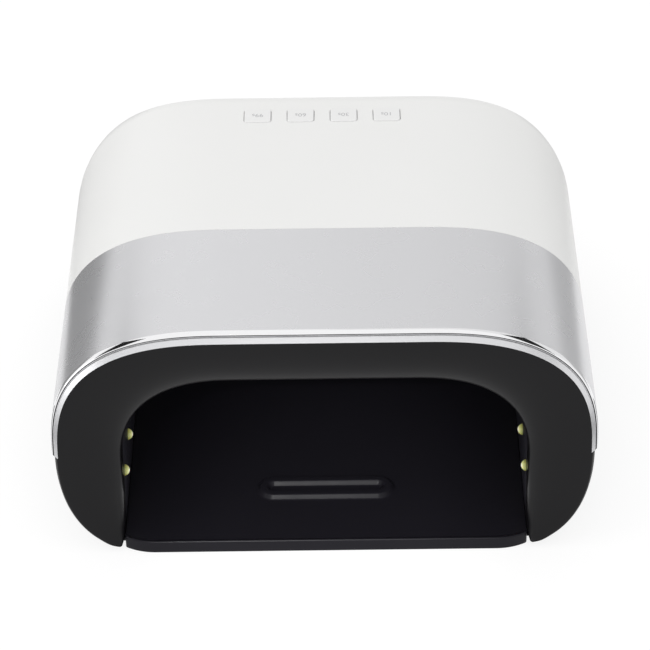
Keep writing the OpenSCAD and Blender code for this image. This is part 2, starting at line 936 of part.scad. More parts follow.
module dc_pin() {
    tip = 0.4;
    color("silver")
    translate([0, 0, inlet_z])
        rotate([-90, 0, 0])
            rotate_extrude()
                polygon([
                    [0, pin_seat_y], [pin_seat_r, pin_seat_y], [pin_seat_r, pin_base_y], [pin_r, pin_base_y],
                    [pin_r, pin_tip_y - tip], [pin_r - tip, pin_tip_y], [0, pin_tip_y]
                ]);
}

/* Flat cables between the boards */

module ribbon_cables() {
    t = 0.8;
    feed_w = 10;
    light_w = 8;
    light_x = 20;
    bend_y = 70;
    start_y = sensor_y + 2;
    board_z = cavity_h + liner_t + led_board_t;
    color([0.75, 0.75, 0.78])
    union() {
        translate([-12, 82, power_z + power_t]) cube([feed_w, t, control_z - power_z - power_t]);
        translate([light_x, bend_y, board_z]) cube([light_w, t, control_z - board_z]);
        translate([light_x, start_y, board_z]) cube([light_w, bend_y + t - start_y, t]);
    }
}

/* Fasteners and magnets */

module housing_screws() {
    color("dimgray")
    for (x = [-column_x, column_x])
        translate([x, column_y, column_top - column_web])
            screw(large_shaft_r, large_shaft_l, large_head_r, large_head_h);
}

module housing_magnets() {
    color("silver")
    for (x = [-magnet_x, magnet_x])
        translate([x, magnet_y, floor_top]) cylinder(r = magnet_r, h = magnet_h);
}

module tray_keepers() {
    color("gray")
    for (x = [-magnet_x, magnet_x])
        translate([x, magnet_y, wing_top - keeper_h]) cylinder(r = keeper_r, h = keeper_h);
}

/* Floor tray */

// Finger rest: a long raised rim with round ends round a shallow hollow
module finger_rest() {
    rise = 1.7;
    hollow = 0.2;
    r = rest_w / 2;
    crest = r - 1.4;
    hollow_r = r - 3.8;
    profile = concat(
        [[0, 0]],
        [for (k = [0 : 6]) [lerp(crest, r, cos(15 * k)), rise * sin(15 * k)]],
        [for (k = [1 : 6])
            [lerp(crest, hollow_r, k / 6), lerp(hollow, rise, (1 + cos(30 * k)) / 2)]],
        [[0, hollow]]
    );
    for (side = [-1, 1])
        translate([side * (rest_l / 2 - r), 0, 0]) rotate_extrude() polygon(profile);
    rotate([90, 0, 90])
        linear_extrude(rest_l - rest_w, center = true) {
            polygon(profile);
            mirror([1, 0]) polygon(profile);
        }
}

// Front edge of the tray from left to right, moved back: straight, then a wide arc
// and a small one at each side
function tray_edge(back) =
    let (
        front = -rear_y + back,
        wide_x = tray_hw - tray_corner - (tray_arc - tray_corner) * sin(tray_turn),
        small_y = front + tray_arc - (tray_arc - tray_corner) * cos(tray_turn),
        right = concat(
            [for (k = [0 : 4])
                let (t = tray_turn * k / 4)
                [wide_x + tray_arc * sin(t), front + tray_arc * (1 - cos(t))]],
            [for (k = [1 : 3])
                let (t = lerp(tray_turn, 90, k / 3))
                [tray_hw - tray_corner * (1 - sin(t)), small_y - tray_corner * cos(t)]]
        )
    )
    concat([for (q = backwards(right)) [-q[0], q[1]]], right);

module tray_outline() {
    polygon(concat(tray_edge(0), [[tray_hw, tray_back], [-tray_hw, tray_back]]));
}

module tray_lip_strip(front, back) {
    polygon(concat(tray_edge(front), backwards(tray_edge(back))));
}

module wing_outline() {
    translate([0, (wing_front + wing_back) / 2])
        rounded(2 * (tray_hw + wing_out), wing_back - wing_front, wing_round);
}

module base_tray() {
    skin_t = 2;
    rib = 3;
    pocket_w = 36;
    pocket_l = 44;
    color([0.06, 0.06, 0.07])
    difference() {
        union() {
            translate([0, 0, tray_low]) linear_extrude(tray_top - tray_low) tray_outline();
            translate([0, 0, tray_low])
                linear_extrude(tray_lip - lip_soft - tray_low) tray_lip_strip(0, lip_w);
            translate([0, 0, tray_low])
                linear_extrude(tray_lip - tray_low) tray_lip_strip(lip_soft, lip_w - lip_soft);
            translate([0, 0, tray_low]) linear_extrude(wing_top - tray_low) wing_outline();
            translate([0, rest_y, tray_top]) finger_rest();
        }
        for (i = [-1.5 : 1 : 1.5], j = [-1 : 1])
            translate([i * (pocket_w + rib), j * (pocket_l + rib) - 10, tray_low - 1])
                linear_extrude(tray_top - skin_t - tray_low + 1) rounded(pocket_w, pocket_l, 3);
        for (x = [-magnet_x, magnet_x])
            translate([x, magnet_y, wing_top - keeper_h]) cylinder(r = keeper_r, h = keeper_h + 1);
    }
}

module tray_pads() {
    color([0.2, 0.2, 0.2])
    for (x = [-pad_x, pad_x], y = [pad_front, pad_back])
        translate([x, y, 0]) cylinder(r = pad_r, h = tray_low);
}

base_tray();
tray_pads();
tray_keepers();
top_shell();
front_band();
chrome_trim();
front_strip();
front_bezel();
cavity_liner();
lower_housing();
led_board_ceiling();
led_board_left();
led_board_right();
led_board_rear();
leds_ceiling();
leds_left();
leds_right();
leds_rear();
hand_sensor();
control_board();
switch_bodies();
display_window();
display_module();
power_board();
capacitors();
inductor();
dc_jack();
dc_pin();
ribbon_cables();
housing_magnets();
housing_screws();
control_screws();
power_screws();
button_99();
button_60();
button_30();
button_10();
plunger_99();
plunger_60();
plunger_30();
plunger_10();
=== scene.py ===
"""Looks of an LED nail lamp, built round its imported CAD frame.

Sizes are in millimetres in the frame's own axes: X to the right as seen from the
front, Y towards the operator, Z up. Meshes are written in metres.
"""

import sys

import logging
import math
from dataclasses import dataclass, field
from enum import Enum
from typing import Iterable, Optional, Sequence

import bmesh
import bpy
from mathutils import Matrix, Vector


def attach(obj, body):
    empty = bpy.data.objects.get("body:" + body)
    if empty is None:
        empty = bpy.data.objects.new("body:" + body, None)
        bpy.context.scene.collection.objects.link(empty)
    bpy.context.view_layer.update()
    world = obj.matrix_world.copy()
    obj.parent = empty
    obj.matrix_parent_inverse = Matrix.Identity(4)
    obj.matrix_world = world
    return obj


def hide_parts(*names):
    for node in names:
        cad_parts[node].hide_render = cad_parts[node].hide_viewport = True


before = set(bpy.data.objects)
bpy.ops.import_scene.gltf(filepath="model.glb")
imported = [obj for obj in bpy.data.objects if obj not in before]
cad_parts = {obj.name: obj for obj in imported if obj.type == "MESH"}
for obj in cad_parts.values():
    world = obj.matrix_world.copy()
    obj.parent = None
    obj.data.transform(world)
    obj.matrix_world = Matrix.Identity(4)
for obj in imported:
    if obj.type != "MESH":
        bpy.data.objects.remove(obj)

LOG = logging.getLogger("nail_lamp")
MM = 0.001
Colour = tuple[float, float, float]
Place = tuple[float, float, float]
Point = tuple[float, float]
Seat = tuple[Vector, Matrix]

# Blender's noise hardly leaves this range.
NOISE_RANGE = (0.3, 0.7)
# Lays a prism that stands on the floor against the rear wall.
TO_REAR = Matrix.Rotation(math.radians(-90), 4, "X")


class Body(Enum):
    """The moving bodies of the lamp, by their names in the frame."""

    BASE = "base"
    LAMP = "lamp"


class Side(Enum):
    """The two sides of the lamp, as seen from the front."""

    LEFT = -1
    RIGHT = 1


# Finishes


class NodeSheet:
    """One material's node tree, with short calls to add and join its nodes."""

    def __init__(self, name: str) -> None:
        """Start a material with a principled shader.

        Args:
            name: The material's name.
        """
        self.material = bpy.data.materials.new(name)
        self.material.use_nodes = True
        self.nodes = self.material.node_tree.nodes
        self.links = self.material.node_tree.links
        self.nodes.clear()
        self.shader = self.nodes.new("ShaderNodeBsdfPrincipled")
        output = self.nodes.new("ShaderNodeOutputMaterial")
        self.links.new(self.shader.outputs["BSDF"], output.inputs["Surface"])
        self.place = self.nodes.new("ShaderNodeTexCoord").outputs["Object"]

    def set(self, **values: object) -> None:
        """Set the shader's own sockets; an underscore in a name stands for a space."""
        for name, value in values.items():
            self.shader.inputs[name.replace("_", " ")].default_value = value

    def stretched(self, stretch: Place) -> bpy.types.NodeSocket:
        """Scale the object coordinates by a different amount along each axis.

        Args:
            stretch: Scale along X, Y and Z.

        Returns:
            The mapped coordinates.
        """
        mapping = self.nodes.new("ShaderNodeMapping")
        mapping.inputs["Scale"].default_value = stretch
        self.links.new(self.place, mapping.inputs["Vector"])
        return mapping.outputs["Vector"]

    def noise(
        self, size: float, detail: float = 2.0, stretch: Place = (1, 1, 1)
    ) -> bpy.types.NodeSocket:
        """Add cloudy noise.

        Args:
            size: Size of its largest features, in millimetres.
            detail: Octaves of finer noise.
            stretch: Scale along X, Y and Z, for brushed patterns.

        Returns:
            The noise's value.
        """
        node = self.nodes.new("ShaderNodeTexNoise")
        node.inputs["Scale"].default_value = 1.0 / (size * MM)
        node.inputs["Detail"].default_value = detail
        self.links.new(self.stretched(stretch), node.inputs["Vector"])
        return node.outputs["Fac"]

    def cells(self, size: float) -> bpy.types.NodeSocket:
        """Add a cell pattern in which each cell has its own value.

        Args:
            size: Size of a cell, in millimetres.

        Returns:
            The cells' colour.
        """
        node = self.nodes.new("ShaderNodeTexVoronoi")
        node.inputs["Scale"].default_value = 1.0 / (size * MM)
        self.links.new(self.place, node.inputs["Vector"])
        return node.outputs["Color"]

    def spread(self, value: bpy.types.NodeSocket, low: float, high: float) -> bpy.types.NodeSocket:
        """Map a noise's usual range onto another range.

        Args:
            value: The noise.
            low: Result where the noise is lowest.
            high: Result where it is highest.

        Returns:
            The mapped value.
        """
        node = self.nodes.new("ShaderNodeMapRange")
        node.inputs["From Min"].default_value, node.inputs["From Max"].default_value = NOISE_RANGE
        node.inputs["To Min"].default_value = low
        node.inputs["To Max"].default_value = high
        self.links.new(value, node.inputs["Value"])
        return node.outputs["Result"]

    def between(
        self, value: bpy.types.NodeSocket, low: Colour, high: Colour
    ) -> bpy.types.NodeSocket:
        """Blend two colours by a pattern.

        Args:
            value: The pattern, from 0 to 1.
            low: Colour where it is 0.
            high: Colour where it is 1.

        Returns:
            The blended colour.
        """
        node = self.nodes.new("ShaderNodeMix")
        node.data_type = "RGBA"
        node.inputs[6].default_value = (*low, 1)
        node.inputs[7].default_value = (*high, 1)
        self.links.new(value, node.inputs[0])
        return node.outputs[2]

    def ramp(
        self, value: bpy.types.NodeSocket, stops: Sequence[tuple[float, Colour]]
    ) -> bpy.types.NodeSocket:
        """Colour a value by several stops.

        Args:
            value: The value, from 0 to 1.
            stops: Places and colours.

        Returns:
            The colour.
        """
        node = self.nodes.new("ShaderNodeValToRGB")
        elements = node.color_ramp.elements
        while len(elements) < len(stops):
            elements.new(0.5)
        for element, (place, colour) in zip(elements, stops):
            element.position = place
            element.color = (*colour, 1)
        self.links.new(value, node.inputs["Fac"])
        return node.outputs["Color"]

    def attribute(self, name: str) -> bpy.types.NodeSocket:
        """Read one of the mesh's own attributes as a value.

        Args:
            name: The attribute's name.

        Returns:
            Its value.
        """
        node = self.nodes.new("ShaderNodeAttribute")
        node.attribute_name = name
        return node.outputs["Fac"]

    def feed(self, value: bpy.types.NodeSocket, socket: str) -> None:
        """Join a value to one of the shader's sockets."""
        self.links.new(value, self.shader.inputs[socket])

    def rough(self, patch: bpy.types.NodeSocket, middle: float, uneven: Point) -> None:
        """Make the surface rough, a little more in some places than in others.

        Args:
            patch: The noise that the roughness follows.
            middle: The roughness in the middle.
            uneven: Factors for its lowest and its highest value.
        """
        low, high = uneven
        self.feed(self.spread(patch, middle * low, middle * high), "Roughness")

    def bump(self, height: bpy.types.NodeSocket, depth: float) -> None:
        """Raise the surface by a pattern.

        Args:
            height: The pattern.
            depth: Its full height, in millimetres.
        """
        node = self.nodes.new("ShaderNodeBump")
        node.inputs["Strength"].default_value = 1.0
        node.inputs["Distance"].default_value = depth * MM
        self.links.new(height, node.inputs["Height"])
        self.links.new(node.outputs["Normal"], self.shader.inputs["Normal"])


def shade(colour: Colour, factor: float) -> Colour:
    """Return a colour made lighter or darker by a factor."""
    return tuple(min(1.0, c * factor) for c in colour)


@dataclass(frozen=True)
class Finish:
    """A finish that is made into a material once and shared from then on."""

    name: str

    def material(self) -> bpy.types.Material:
        """Return the finish's material, and make it on the first call."""
        known = bpy.data.materials.get(self.name)
        return known or self._make()

    def _make(self) -> bpy.types.Material:
        """Make the node tree; each kind of finish has its own."""
        raise NotImplementedError


@dataclass(frozen=True)
class MouldedPlastic(Finish):
    """Moulded plastic with a fine grain, faint mottling and uneven gloss."""

    colour: Colour = (0.5, 0.5, 0.5)
    roughness: float = 0.3
    grain: float = 0.5
    depth: float = 0.004
    mottle: float = 0.02
    specular: float = 0.5
    cloud: float = 35.0
    patch: float = 9.0
    uneven: Point = (0.92, 1.08)

    def _make(self) -> bpy.types.Material:
        """Make the node tree.

        Returns:
            The material.
        """
        sheet = NodeSheet(self.name)
        dark, light = shade(self.colour, 1 - self.mottle), shade(self.colour, 1 + self.mottle)
        sheet.feed(sheet.between(sheet.noise(self.cloud), dark, light), "Base Color")
        sheet.rough(sheet.noise(self.patch, 4.0), self.roughness, self.uneven)
        sheet.bump(sheet.noise(self.grain, 3.0), self.depth)
        sheet.set(Specular_IOR_Level=self.specular)
        return sheet.material


@dataclass(frozen=True)
class SatinPaint(Finish):
    """Silver paint: fine flakes of slightly different brightness under a satin lacquer."""

    colour: Colour = (0.6, 0.6, 0.62)
    roughness: float = 0.35
    flake: float = 0.09
    sparkle: float = 0.02
    metal: float = 0.9
    grain: float = 0.4
    depth: float = 0.0006
    patch: float = 14.0
    uneven: Point = (0.95, 1.05)

    def _make(self) -> bpy.types.Material:
        """Make the node tree.

        Returns:
            The material.
        """
        sheet = NodeSheet(self.name)
        dark, light = shade(self.colour, 1 - self.sparkle), shade(self.colour, 1 + self.sparkle)
        sheet.feed(sheet.between(sheet.cells(self.flake), dark, light), "Base Color")
        sheet.rough(sheet.noise(self.patch), self.roughness, self.uneven)
        sheet.bump(sheet.noise(self.grain, 3.0), self.depth)
        sheet.set(Metallic=self.metal)
        return sheet.material


@dataclass(frozen=True)
class PlatedMetal(Finish):
    """Plated or brushed metal, from mirror bright to dull."""

    colour: Colour = (0.8, 0.8, 0.82)
    roughness: float = 0.1
    brushed: Place = (1, 1, 1)
    depth: float = 0.0006
    streak: float = 0.6
    shades: Point = (0.96, 1.03)
    patch: float = 6.0
    uneven: Point = (0.8, 1.25)

    def _make(self) -> bpy.types.Material:
        """Make the node tree.

        Returns:
            The material.
        """
        sheet = NodeSheet(self.name)
        streak = sheet.noise(self.streak, 4.0, self.brushed)
        dark, light = (shade(self.colour, factor) for factor in self.shades)
        sheet.feed(sheet.between(streak, dark, light), "Base Color")
        sheet.rough(sheet.noise(self.patch), self.roughness, self.uneven)
        sheet.bump(streak, self.depth)
        sheet.set(Metallic=1.0)
        return sheet.material


@dataclass(frozen=True)
class LampLens(Finish):
    """Cast silicone lens: pale where the chip shows through, darker olive at its rim as painted
    shade of its hole, and given a painted glow.
    """

    core: Colour = (0.95, 0.95, 0.76)
    middle: Colour = (0.62, 0.63, 0.26)
    # Painted shade: the dark olive rim stands for the shade in the hole round the lens.
    rim: Colour = (0.20, 0.21, 0.05)
    # Painted glow: how strongly the lens gives off light in its own colours, so that it looks
    # bright inside the dark cavity.
    glow: float = 0.36
    core_reach: float = 0.30
    middle_reach: float = 0.62

    def _make(self) -> bpy.types.Material:
        """Make the node tree.

        Returns:
            The material.
        """
        sheet = NodeSheet(self.name)
        # The ramp darkens towards the lens's edge as painted shade.
        stops = [
            (0.0, self.core), (self.core_reach, self.core),
            (self.middle_reach, self.middle), (1.0, self.rim),
        ]
        colour = sheet.ramp(sheet.attribute("reach"), stops)
        sheet.feed(colour, "Base Color")
        # Painted glow: the lens gives off light in its ramp's colours.
        sheet.feed(colour, "Emission Color")
        sheet.feed(sheet.spread(sheet.noise(1.2), 0.22, 0.3), "Roughness")
        sheet.bump(sheet.noise(0.5), 0.006)
        sheet.set(Emission_Strength=self.glow, Subsurface_Weight=0.3, Subsurface_Scale=0.001)
        return sheet.material


@dataclass(frozen=True)
class MaskedBoard(Finish):
    """Circuit board: solder mask over faintly raised copper tracks."""

    mask: Colour = (0.03, 0.18, 0.07)
    track: Colour = (0.05, 0.26, 0.11)

    def _make(self) -> bpy.types.Material:
        """Make the node tree.

        Returns:
            The material.
        """
        sheet = NodeSheet(self.name)
        brick = sheet.nodes.new("ShaderNodeTexBrick")
        brick.inputs["Scale"].default_value = 90.0
        brick.inputs["Mortar Size"].default_value = 0.05
        sheet.links.new(sheet.place, brick.inputs["Vector"])
        tracks = brick.outputs["Fac"]
        sheet.feed(sheet.between(tracks, self.mask, self.track), "Base Color")
        sheet.feed(sheet.spread(sheet.noise(5.0), 0.3, 0.42), "Roughness")
        sheet.bump(tracks, 0.03)
        return sheet.material


@dataclass(frozen=True)
class FlatCable(Finish):
    """Flat cable: a row of grey insulated wires side by side, with painted shade in the grooves
    between them.
    """

    colour: Colour = (0.46, 0.46, 0.48)

    def _make(self) -> bpy.types.Material:
        """Make the node tree.

        Returns:
            The material.
        """
        sheet = NodeSheet(self.name)
        wave = sheet.nodes.new("ShaderNodeTexWave")
        wave.inputs["Scale"].default_value = 250.0
        sheet.links.new(sheet.place, wave.inputs["Vector"])
        wires = wave.outputs["Fac"]
        # Painted shade: the colour darkens where the wave runs low, in the grooves between the
        # wires.
        sheet.feed(sheet.between(wires, shade(self.colour, 0.7), self.colour), "Base Color")
        sheet.feed(sheet.spread(sheet.noise(3.0), 0.45, 0.6), "Roughness")
        sheet.bump(wires, 0.2)
        return sheet.material


SHELL_WHITE = MouldedPlastic("shell_white_plastic", (0.83, 0.83, 0.82), 0.34, 0.5, 0.003, 0.008)
BUTTON_WHITE = MouldedPlastic("button_white_plastic", (0.82, 0.82, 0.815), 0.30, 0.5, 0.002, 0.008)
BAND_SILVER = SatinPaint("band_silver_paint", (0.70, 0.70, 0.715), 0.28)
STRIP_SILVER = SatinPaint("strip_silver_paint", (0.71, 0.71, 0.725), 0.36, 0.09, 0.04, 0.75)
BEAD_CHROME = PlatedMetal("bead_chrome", (0.90, 0.90, 0.91), 0.07)
BEZEL_BLACK = MouldedPlastic(
    "bezel_black_plastic", (0.005, 0.0048, 0.0056), 0.30, 0.5, 0.002, 0.05, 0.2
)
LINER_BLACK = MouldedPlastic(
    "liner_black_plastic", (0.021, 0.020, 0.027), 0.45, 0.7, 0.003, 0.05, 0.3
)
HOUSING_BLACK = MouldedPlastic(
    "housing_black_plastic", (0.008, 0.008, 0.009), 0.32, 0.5, 0.003, 0.05, 0.5
)
TRAY_BLACK = MouldedPlastic(
    "tray_black_plastic", (0.0104, 0.0097, 0.0131), 0.33, 0.6, 0.001, 0.05, 0.115
)
WINDOW_BLACK = MouldedPlastic(
    "window_tinted_acrylic", (0.004, 0.004, 0.005), 0.06, 2.0, 0.001, 0.03, 0.5
)
DIGIT_GREY = MouldedPlastic("digit_unlit_grey", (0.022, 0.020, 0.022), 0.2, 0.5, 0.001, 0.05, 0.3)
NUMERAL_GREY = MouldedPlastic("numeral_grey_ink", (0.48, 0.48, 0.49), 0.5, 0.2, 0.002, 0.06, 0.3)
SENSOR_DARK = MouldedPlastic("sensor_dark_lens", (0.03, 0.006, 0.012), 0.1, 1.0, 0.001, 0.05, 0.5)
SWITCH_BLACK = MouldedPlastic("switch_matt_plastic", (0.03, 0.03, 0.03), 0.6, 0.4, 0.01, 0.08)
SLEEVE_BLUE = MouldedPlastic("capacitor_blue_sleeve", (0.02, 0.03, 0.14), 0.28, 0.8, 0.004, 0.06)
FERRITE = MouldedPlastic("inductor_ferrite", (0.07, 0.062, 0.06), 0.7, 0.3, 0.03, 0.12)
PAD_RUBBER = MouldedPlastic("pad_grey_rubber", (0.05, 0.05, 0.052), 0.85, 0.35, 0.03, 0.12, 0.3)
PLATED_STEEL = PlatedMetal("plated_steel", (0.58, 0.58, 0.6), 0.32, (1, 6, 1), 0.002)
PIN_NICKEL = PlatedMetal("pin_nickel", (0.74, 0.73, 0.69), 0.14, (1, 1, 4))
LENS_GREEN = LampLens("lens_yellow_green")
BOARD_GREEN = MaskedBoard("board_green_mask")
BOARD_WHITE = MaskedBoard("board_white_mask", (0.78, 0.78, 0.8), (0.7, 0.7, 0.72))
CABLE_GREY = FlatCable("flat_cable_grey")


# Mesh tools


def linked(name: str, data: bpy.types.ID) -> bpy.types.Object:
    """Make an object from its data and link it into the scene.

    Args:
        name: The object's name.
        data: Its mesh, curve, lamp or camera.

    Returns:
        The object.
    """
    thing = bpy.data.objects.new(name, data)
    bpy.context.scene.collection.objects.link(thing)
    return thing


def draped_grid(rows: Sequence[Sequence[Vector]], ring: bool = False) -> bmesh.types.BMesh:
    """Lay a grid over rows of places.

    Args:
        rows: Places in millimetres, as many in every row.
        ring: Whether each row closes on itself.

    Returns:
        The skin, in metres.
    """
    across, along = len(rows[0]), len(rows)
    columns = across if ring else across - 1
    mesh = bmesh.new()
    bmesh.ops.create_grid(mesh, x_segments=columns, y_segments=along - 1, size=1.0)
    for vert in mesh.verts:
        column = round((vert.co.x + 1) / 2 * columns) % across
        row = round((vert.co.y + 1) / 2 * (along - 1))
        vert.co = rows[row][column] * MM
    if ring:
        bmesh.ops.remove_doubles(mesh, verts=mesh.verts, dist=1e-7)
    return mesh


def faced_out(mesh: bmesh.types.BMesh, centre: Vector, inwards: bool = False) -> bmesh.types.BMesh:
    """Turn a skin's faces away from a point, or towards it.

    Args:
        mesh: The skin.
        centre: The point, in millimetres.
        inwards: Whether the faces look towards the point.

    Returns:
        The same skin.
    """
    bmesh.ops.recalc_face_normals(mesh, faces=mesh.faces)
    lean = sum(
        (f.calc_center_median() - centre * MM).dot(f.normal) * f.calc_area() for f in mesh.faces
    )
    if (lean < 0) != inwards:
        bmesh.ops.reverse_faces(mesh, faces=mesh.faces)
    return mesh


def filled(mesh: bmesh.types.BMesh, places: Sequence[Vector]) -> None:
    """Close a skin with one face through places that its edge already has.

    Args:
        mesh: The skin.
        places: The face's corners in order, in millimetres.
    """
    near = {tuple(round(c, 7) for c in v.co): v for v in mesh.verts}
    corners = [near[tuple(round(c, 7) for c in (p * MM))] for p in places]
    bmesh.ops.contextual_create(mesh, geom=[corners[0], corners[-1]])
    ring = [mesh.edges.get(pair) for pair in zip(corners, corners[1:] + corners[:1])]
    bmesh.ops.contextual_create(mesh, geom=ring)


def closed_tube(sections: Sequence[Sequence[Vector]]) -> bmesh.types.BMesh:
    """Make a solid from closed sections laid one behind the other.

    Args:
        sections: Rings of places, in millimetres.

    Returns:
        The solid, with both ends closed.
    """
    mesh = draped_grid(sections, ring=True)
    bmesh.ops.holes_fill(mesh, edges=mesh.edges, sides=0)
    bmesh.ops.recalc_face_normals(mesh, faces=mesh.faces)
    return mesh


def rounded_prism(
    size: Sequence[float], low: float, corner: float, edge: float, segments: int = 6
) -> bmesh.types.BMesh:
    """Make an upright prism with round corners and a soft top edge.

    Args:
        size: Width, depth and height, in millimetres.
        low: Height of its underside.
        corner: Radius of its upright edges.
        edge: Radius of its top edge, or 0 for a sharp one.
        segments: Steps round a corner.

    Returns:
        The prism, centred on the Z axis.
    """
    mesh = bmesh.new()
    bmesh.ops.create_cube(mesh, size=MM)
    bmesh.ops.scale(mesh, vec=Vector(size), verts=mesh.verts)
    bmesh.ops.translate(mesh, vec=Vector((0, 0, (low + size[2] / 2) * MM)), verts=mesh.verts)
    upright = [e for e in mesh.edges if abs(e.verts[0].co.z - e.verts[1].co.z) > 1e-6]
    bmesh.ops.bevel(
        mesh, geom=upright, offset=corner * MM, offset_type="OFFSET", affect="EDGES",
        segments=segments, profile=0.5, material=-1,
    )
    if edge:
        top = (low + size[2]) * MM
        rim = [e for e in mesh.edges if all(abs(v.co.z - top) < 1e-7 for v in e.verts)]
        bmesh.ops.bevel(
            mesh, geom=rim, offset=edge * MM, offset_type="OFFSET", affect="EDGES",
            segments=4, profile=0.5, material=-1,
        )
    return mesh


def turned(profile: Sequence[Point], steps: int = 32) -> bmesh.types.BMesh:
    """Turn a profile round the Z axis.

    Args:
        profile: Radii and heights, in millimetres.
        steps: Steps round the axis.

    Returns:
        The turned solid.
    """
    mesh = bmesh.new()
    verts = [mesh.verts.new((r * MM, 0, z * MM)) for r, z in profile]
    edges = [mesh.edges.new(pair) for pair in zip(verts, verts[1:])]
    bmesh.ops.spin(
        mesh, geom=verts + edges, cent=(0, 0, 0), axis=(0, 0, 1), angle=2 * math.pi,
        steps=steps, use_merge=True,
    )
    bmesh.ops.remove_doubles(mesh, verts=mesh.verts, dist=1e-7)
    bmesh.ops.recalc_face_normals(mesh, faces=mesh.faces)
    return mesh


def round_pin(radius: float, reach: Point, steps: int) -> bmesh.types.BMesh:
    """Make a round pin along Z, as the cutter of a round hole.

    Args:
        radius: Its radius, in millimetres.
        reach: Heights of its two ends.
        steps: Steps round the axis.

    Returns:
        The pin.
    """
    low, high = reach
    return turned([(0, low), (radius, low), (radius, high), (0, high)], steps)


def moved(
    mesh: bmesh.types.BMesh, place: Sequence[float], turn: Optional[Matrix] = None
) -> bmesh.types.BMesh:
    """Turn a mesh about the origin and move it.

    Args:
        mesh: The mesh.
        place: Where its origin goes, in millimetres.
        turn: A rotation, if it needs one.

    Returns:
        The same mesh.
    """
    matrix = Matrix.Translation(Vector(place) * MM) @ (turn or Matrix.Identity(4))
    bmesh.ops.transform(mesh, matrix=matrix, verts=mesh.verts)
    return mesh


def joined(parts: Iterable[bmesh.types.BMesh]) -> bmesh.types.BMesh:
    """Put several meshes into one and free the others.

    Args:
        parts: The meshes.

    Returns:
        The first mesh, holding all of them.
    """
    whole = bmesh.new()
    for part in parts:
        spare = bpy.data.meshes.new("spare")
        part.to_mesh(spare)
        part.free()
        whole.from_mesh(spare)
        bpy.data.meshes.remove(spare)
    return whole


def as_object(mesh: bmesh.types.BMesh, name: str) -> bpy.types.Object:
    """Make an object at the origin from a mesh, and free the mesh.

    Args:
        mesh: The mesh, in metres.
        name: The object's name.

    Returns:
        The object.
    """
    data = bpy.data.meshes.new(name)
    mesh.to_mesh(data)
    mesh.free()
    return linked(name, data)


def as_mesh(piece: bpy.types.Object) -> bmesh.types.BMesh:
    """Take an object's mesh back for more work, and remove the object.

    Args:
        piece: The object.

    Returns:
        Its mesh.
    """
    mesh = bmesh.new()
    mesh.from_mesh(piece.data)
    bpy.data.objects.remove(piece)
    return mesh


def bake(piece: bpy.types.Object) -> None:
    """Apply a piece's modifiers to its mesh.

    Args:
        piece: The piece.
    """
    graph = bpy.context.evaluated_depsgraph_get()
    graph.update()
    finished = bpy.data.meshes.new_from_object(piece.evaluated_get(graph), depsgraph=graph)
    piece.modifiers.clear()
    rough, piece.data = piece.data, finished
    finished.name = piece.name
    bpy.data.meshes.remove(rough)


def thicken(piece: bpy.types.Object, wall: float) -> None:
    """Give a skin its wall, behind its faces.

    Args:
        piece: The skin.
        wall: The wall's thickness, in millimetres.
    """
    solid = piece.modifiers.new("wall", "SOLIDIFY")
    solid.thickness = wall * MM
    solid.offset = -1.0
    solid.use_even_offset = True
    bake(piece)


def carve(piece: bpy.types.Object, cutter: bmesh.types.BMesh) -> None:
    """Cut a mesh out of a piece.

    Args:
        piece: The piece.
        cutter: What is taken out.
    """
    tool = as_object(cutter, "cutter")
    cut = piece.modifiers.new("cut", "BOOLEAN")
    cut.operation = "DIFFERENCE"
    cut.solver = "EXACT"
    cut.object = tool
    bake(piece)
    bpy.data.objects.remove(tool)


def edge_break(
    piece: bpy.types.Object, width: float, segments: int = 2, angle: float = 38.0
) -> None:
    """Soften a piece's sharp edges.

    Args:
        piece: The piece.
        width: Width of the softened edge, in millimetres.
        segments: Steps across it.
        angle: Least angle of an edge that is softened, in degrees.
    """
    bevel = piece.modifiers.new("edge_break", "BEVEL")
    bevel.width = width * MM
    bevel.segments = segments
    bevel.limit_method = "ANGLE"
    bevel.angle_limit = math.radians(angle)
    bake(piece)


def smooth(piece: bpy.types.Object, angle: float = 32.0) -> None:
    """Shade a piece smoothly, apart from edges sharper than an angle in degrees.

    Args:
        piece: The piece.
        angle: Least angle of an edge that stays sharp, in degrees.
    """
    for polygon in piece.data.polygons:
        polygon.use_smooth = True
    piece.data.set_sharp_from_angle(angle=math.radians(angle))
    weighted = piece.modifiers.new("weighted_normals", "WEIGHTED_NORMAL")
    weighted.keep_sharp = True
    bake(piece)


def dressed(piece: bpy.types.Object, finish: Finish) -> bpy.types.Object:
    """Give a piece its finish, and return it.

    Args:
        piece: The piece.
        finish: Its finish.

    Returns:
        The piece.
    """
    piece.data.materials.clear()
    piece.data.materials.append(finish.material())
    return piece


def seated(
    piece: bpy.types.Object, body: str, finish: Finish, nodes: Sequence[str] = ()
) -> bpy.types.Object:
    """Dress a finished piece and hand it to its body.

    Args:
        piece: The piece, in place.
        body: The body that it moves with.
        finish: Its finish.
        nodes: The CAD nodes that it stands for.

    Returns:
        The piece.
    """
    dressed(piece, finish)
    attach(piece, body)
    if nodes:
        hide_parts(*nodes)
    LOG.info("%s: %d faces on %s", piece.name, len(piece.data.polygons), body)
    return piece


def merged_copy(node: str, name: str) -> bpy.types.Object:
    """Copy a CAD node's triangles into one joined mesh with whole flat faces.

    Args:
        node: The node's name.
        name: The copy's name.

    Returns:
        The copy.
    """
    mesh = bmesh.new()
    mesh.from_mesh(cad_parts[node].data)
    bmesh.ops.remove_doubles(mesh, verts=mesh.verts, dist=1e-6)
    bmesh.ops.dissolve_limit(
        mesh, angle_limit=math.radians(0.3), verts=mesh.verts, edges=mesh.edges
    )
    return as_object(mesh, name)


# The lamp's form


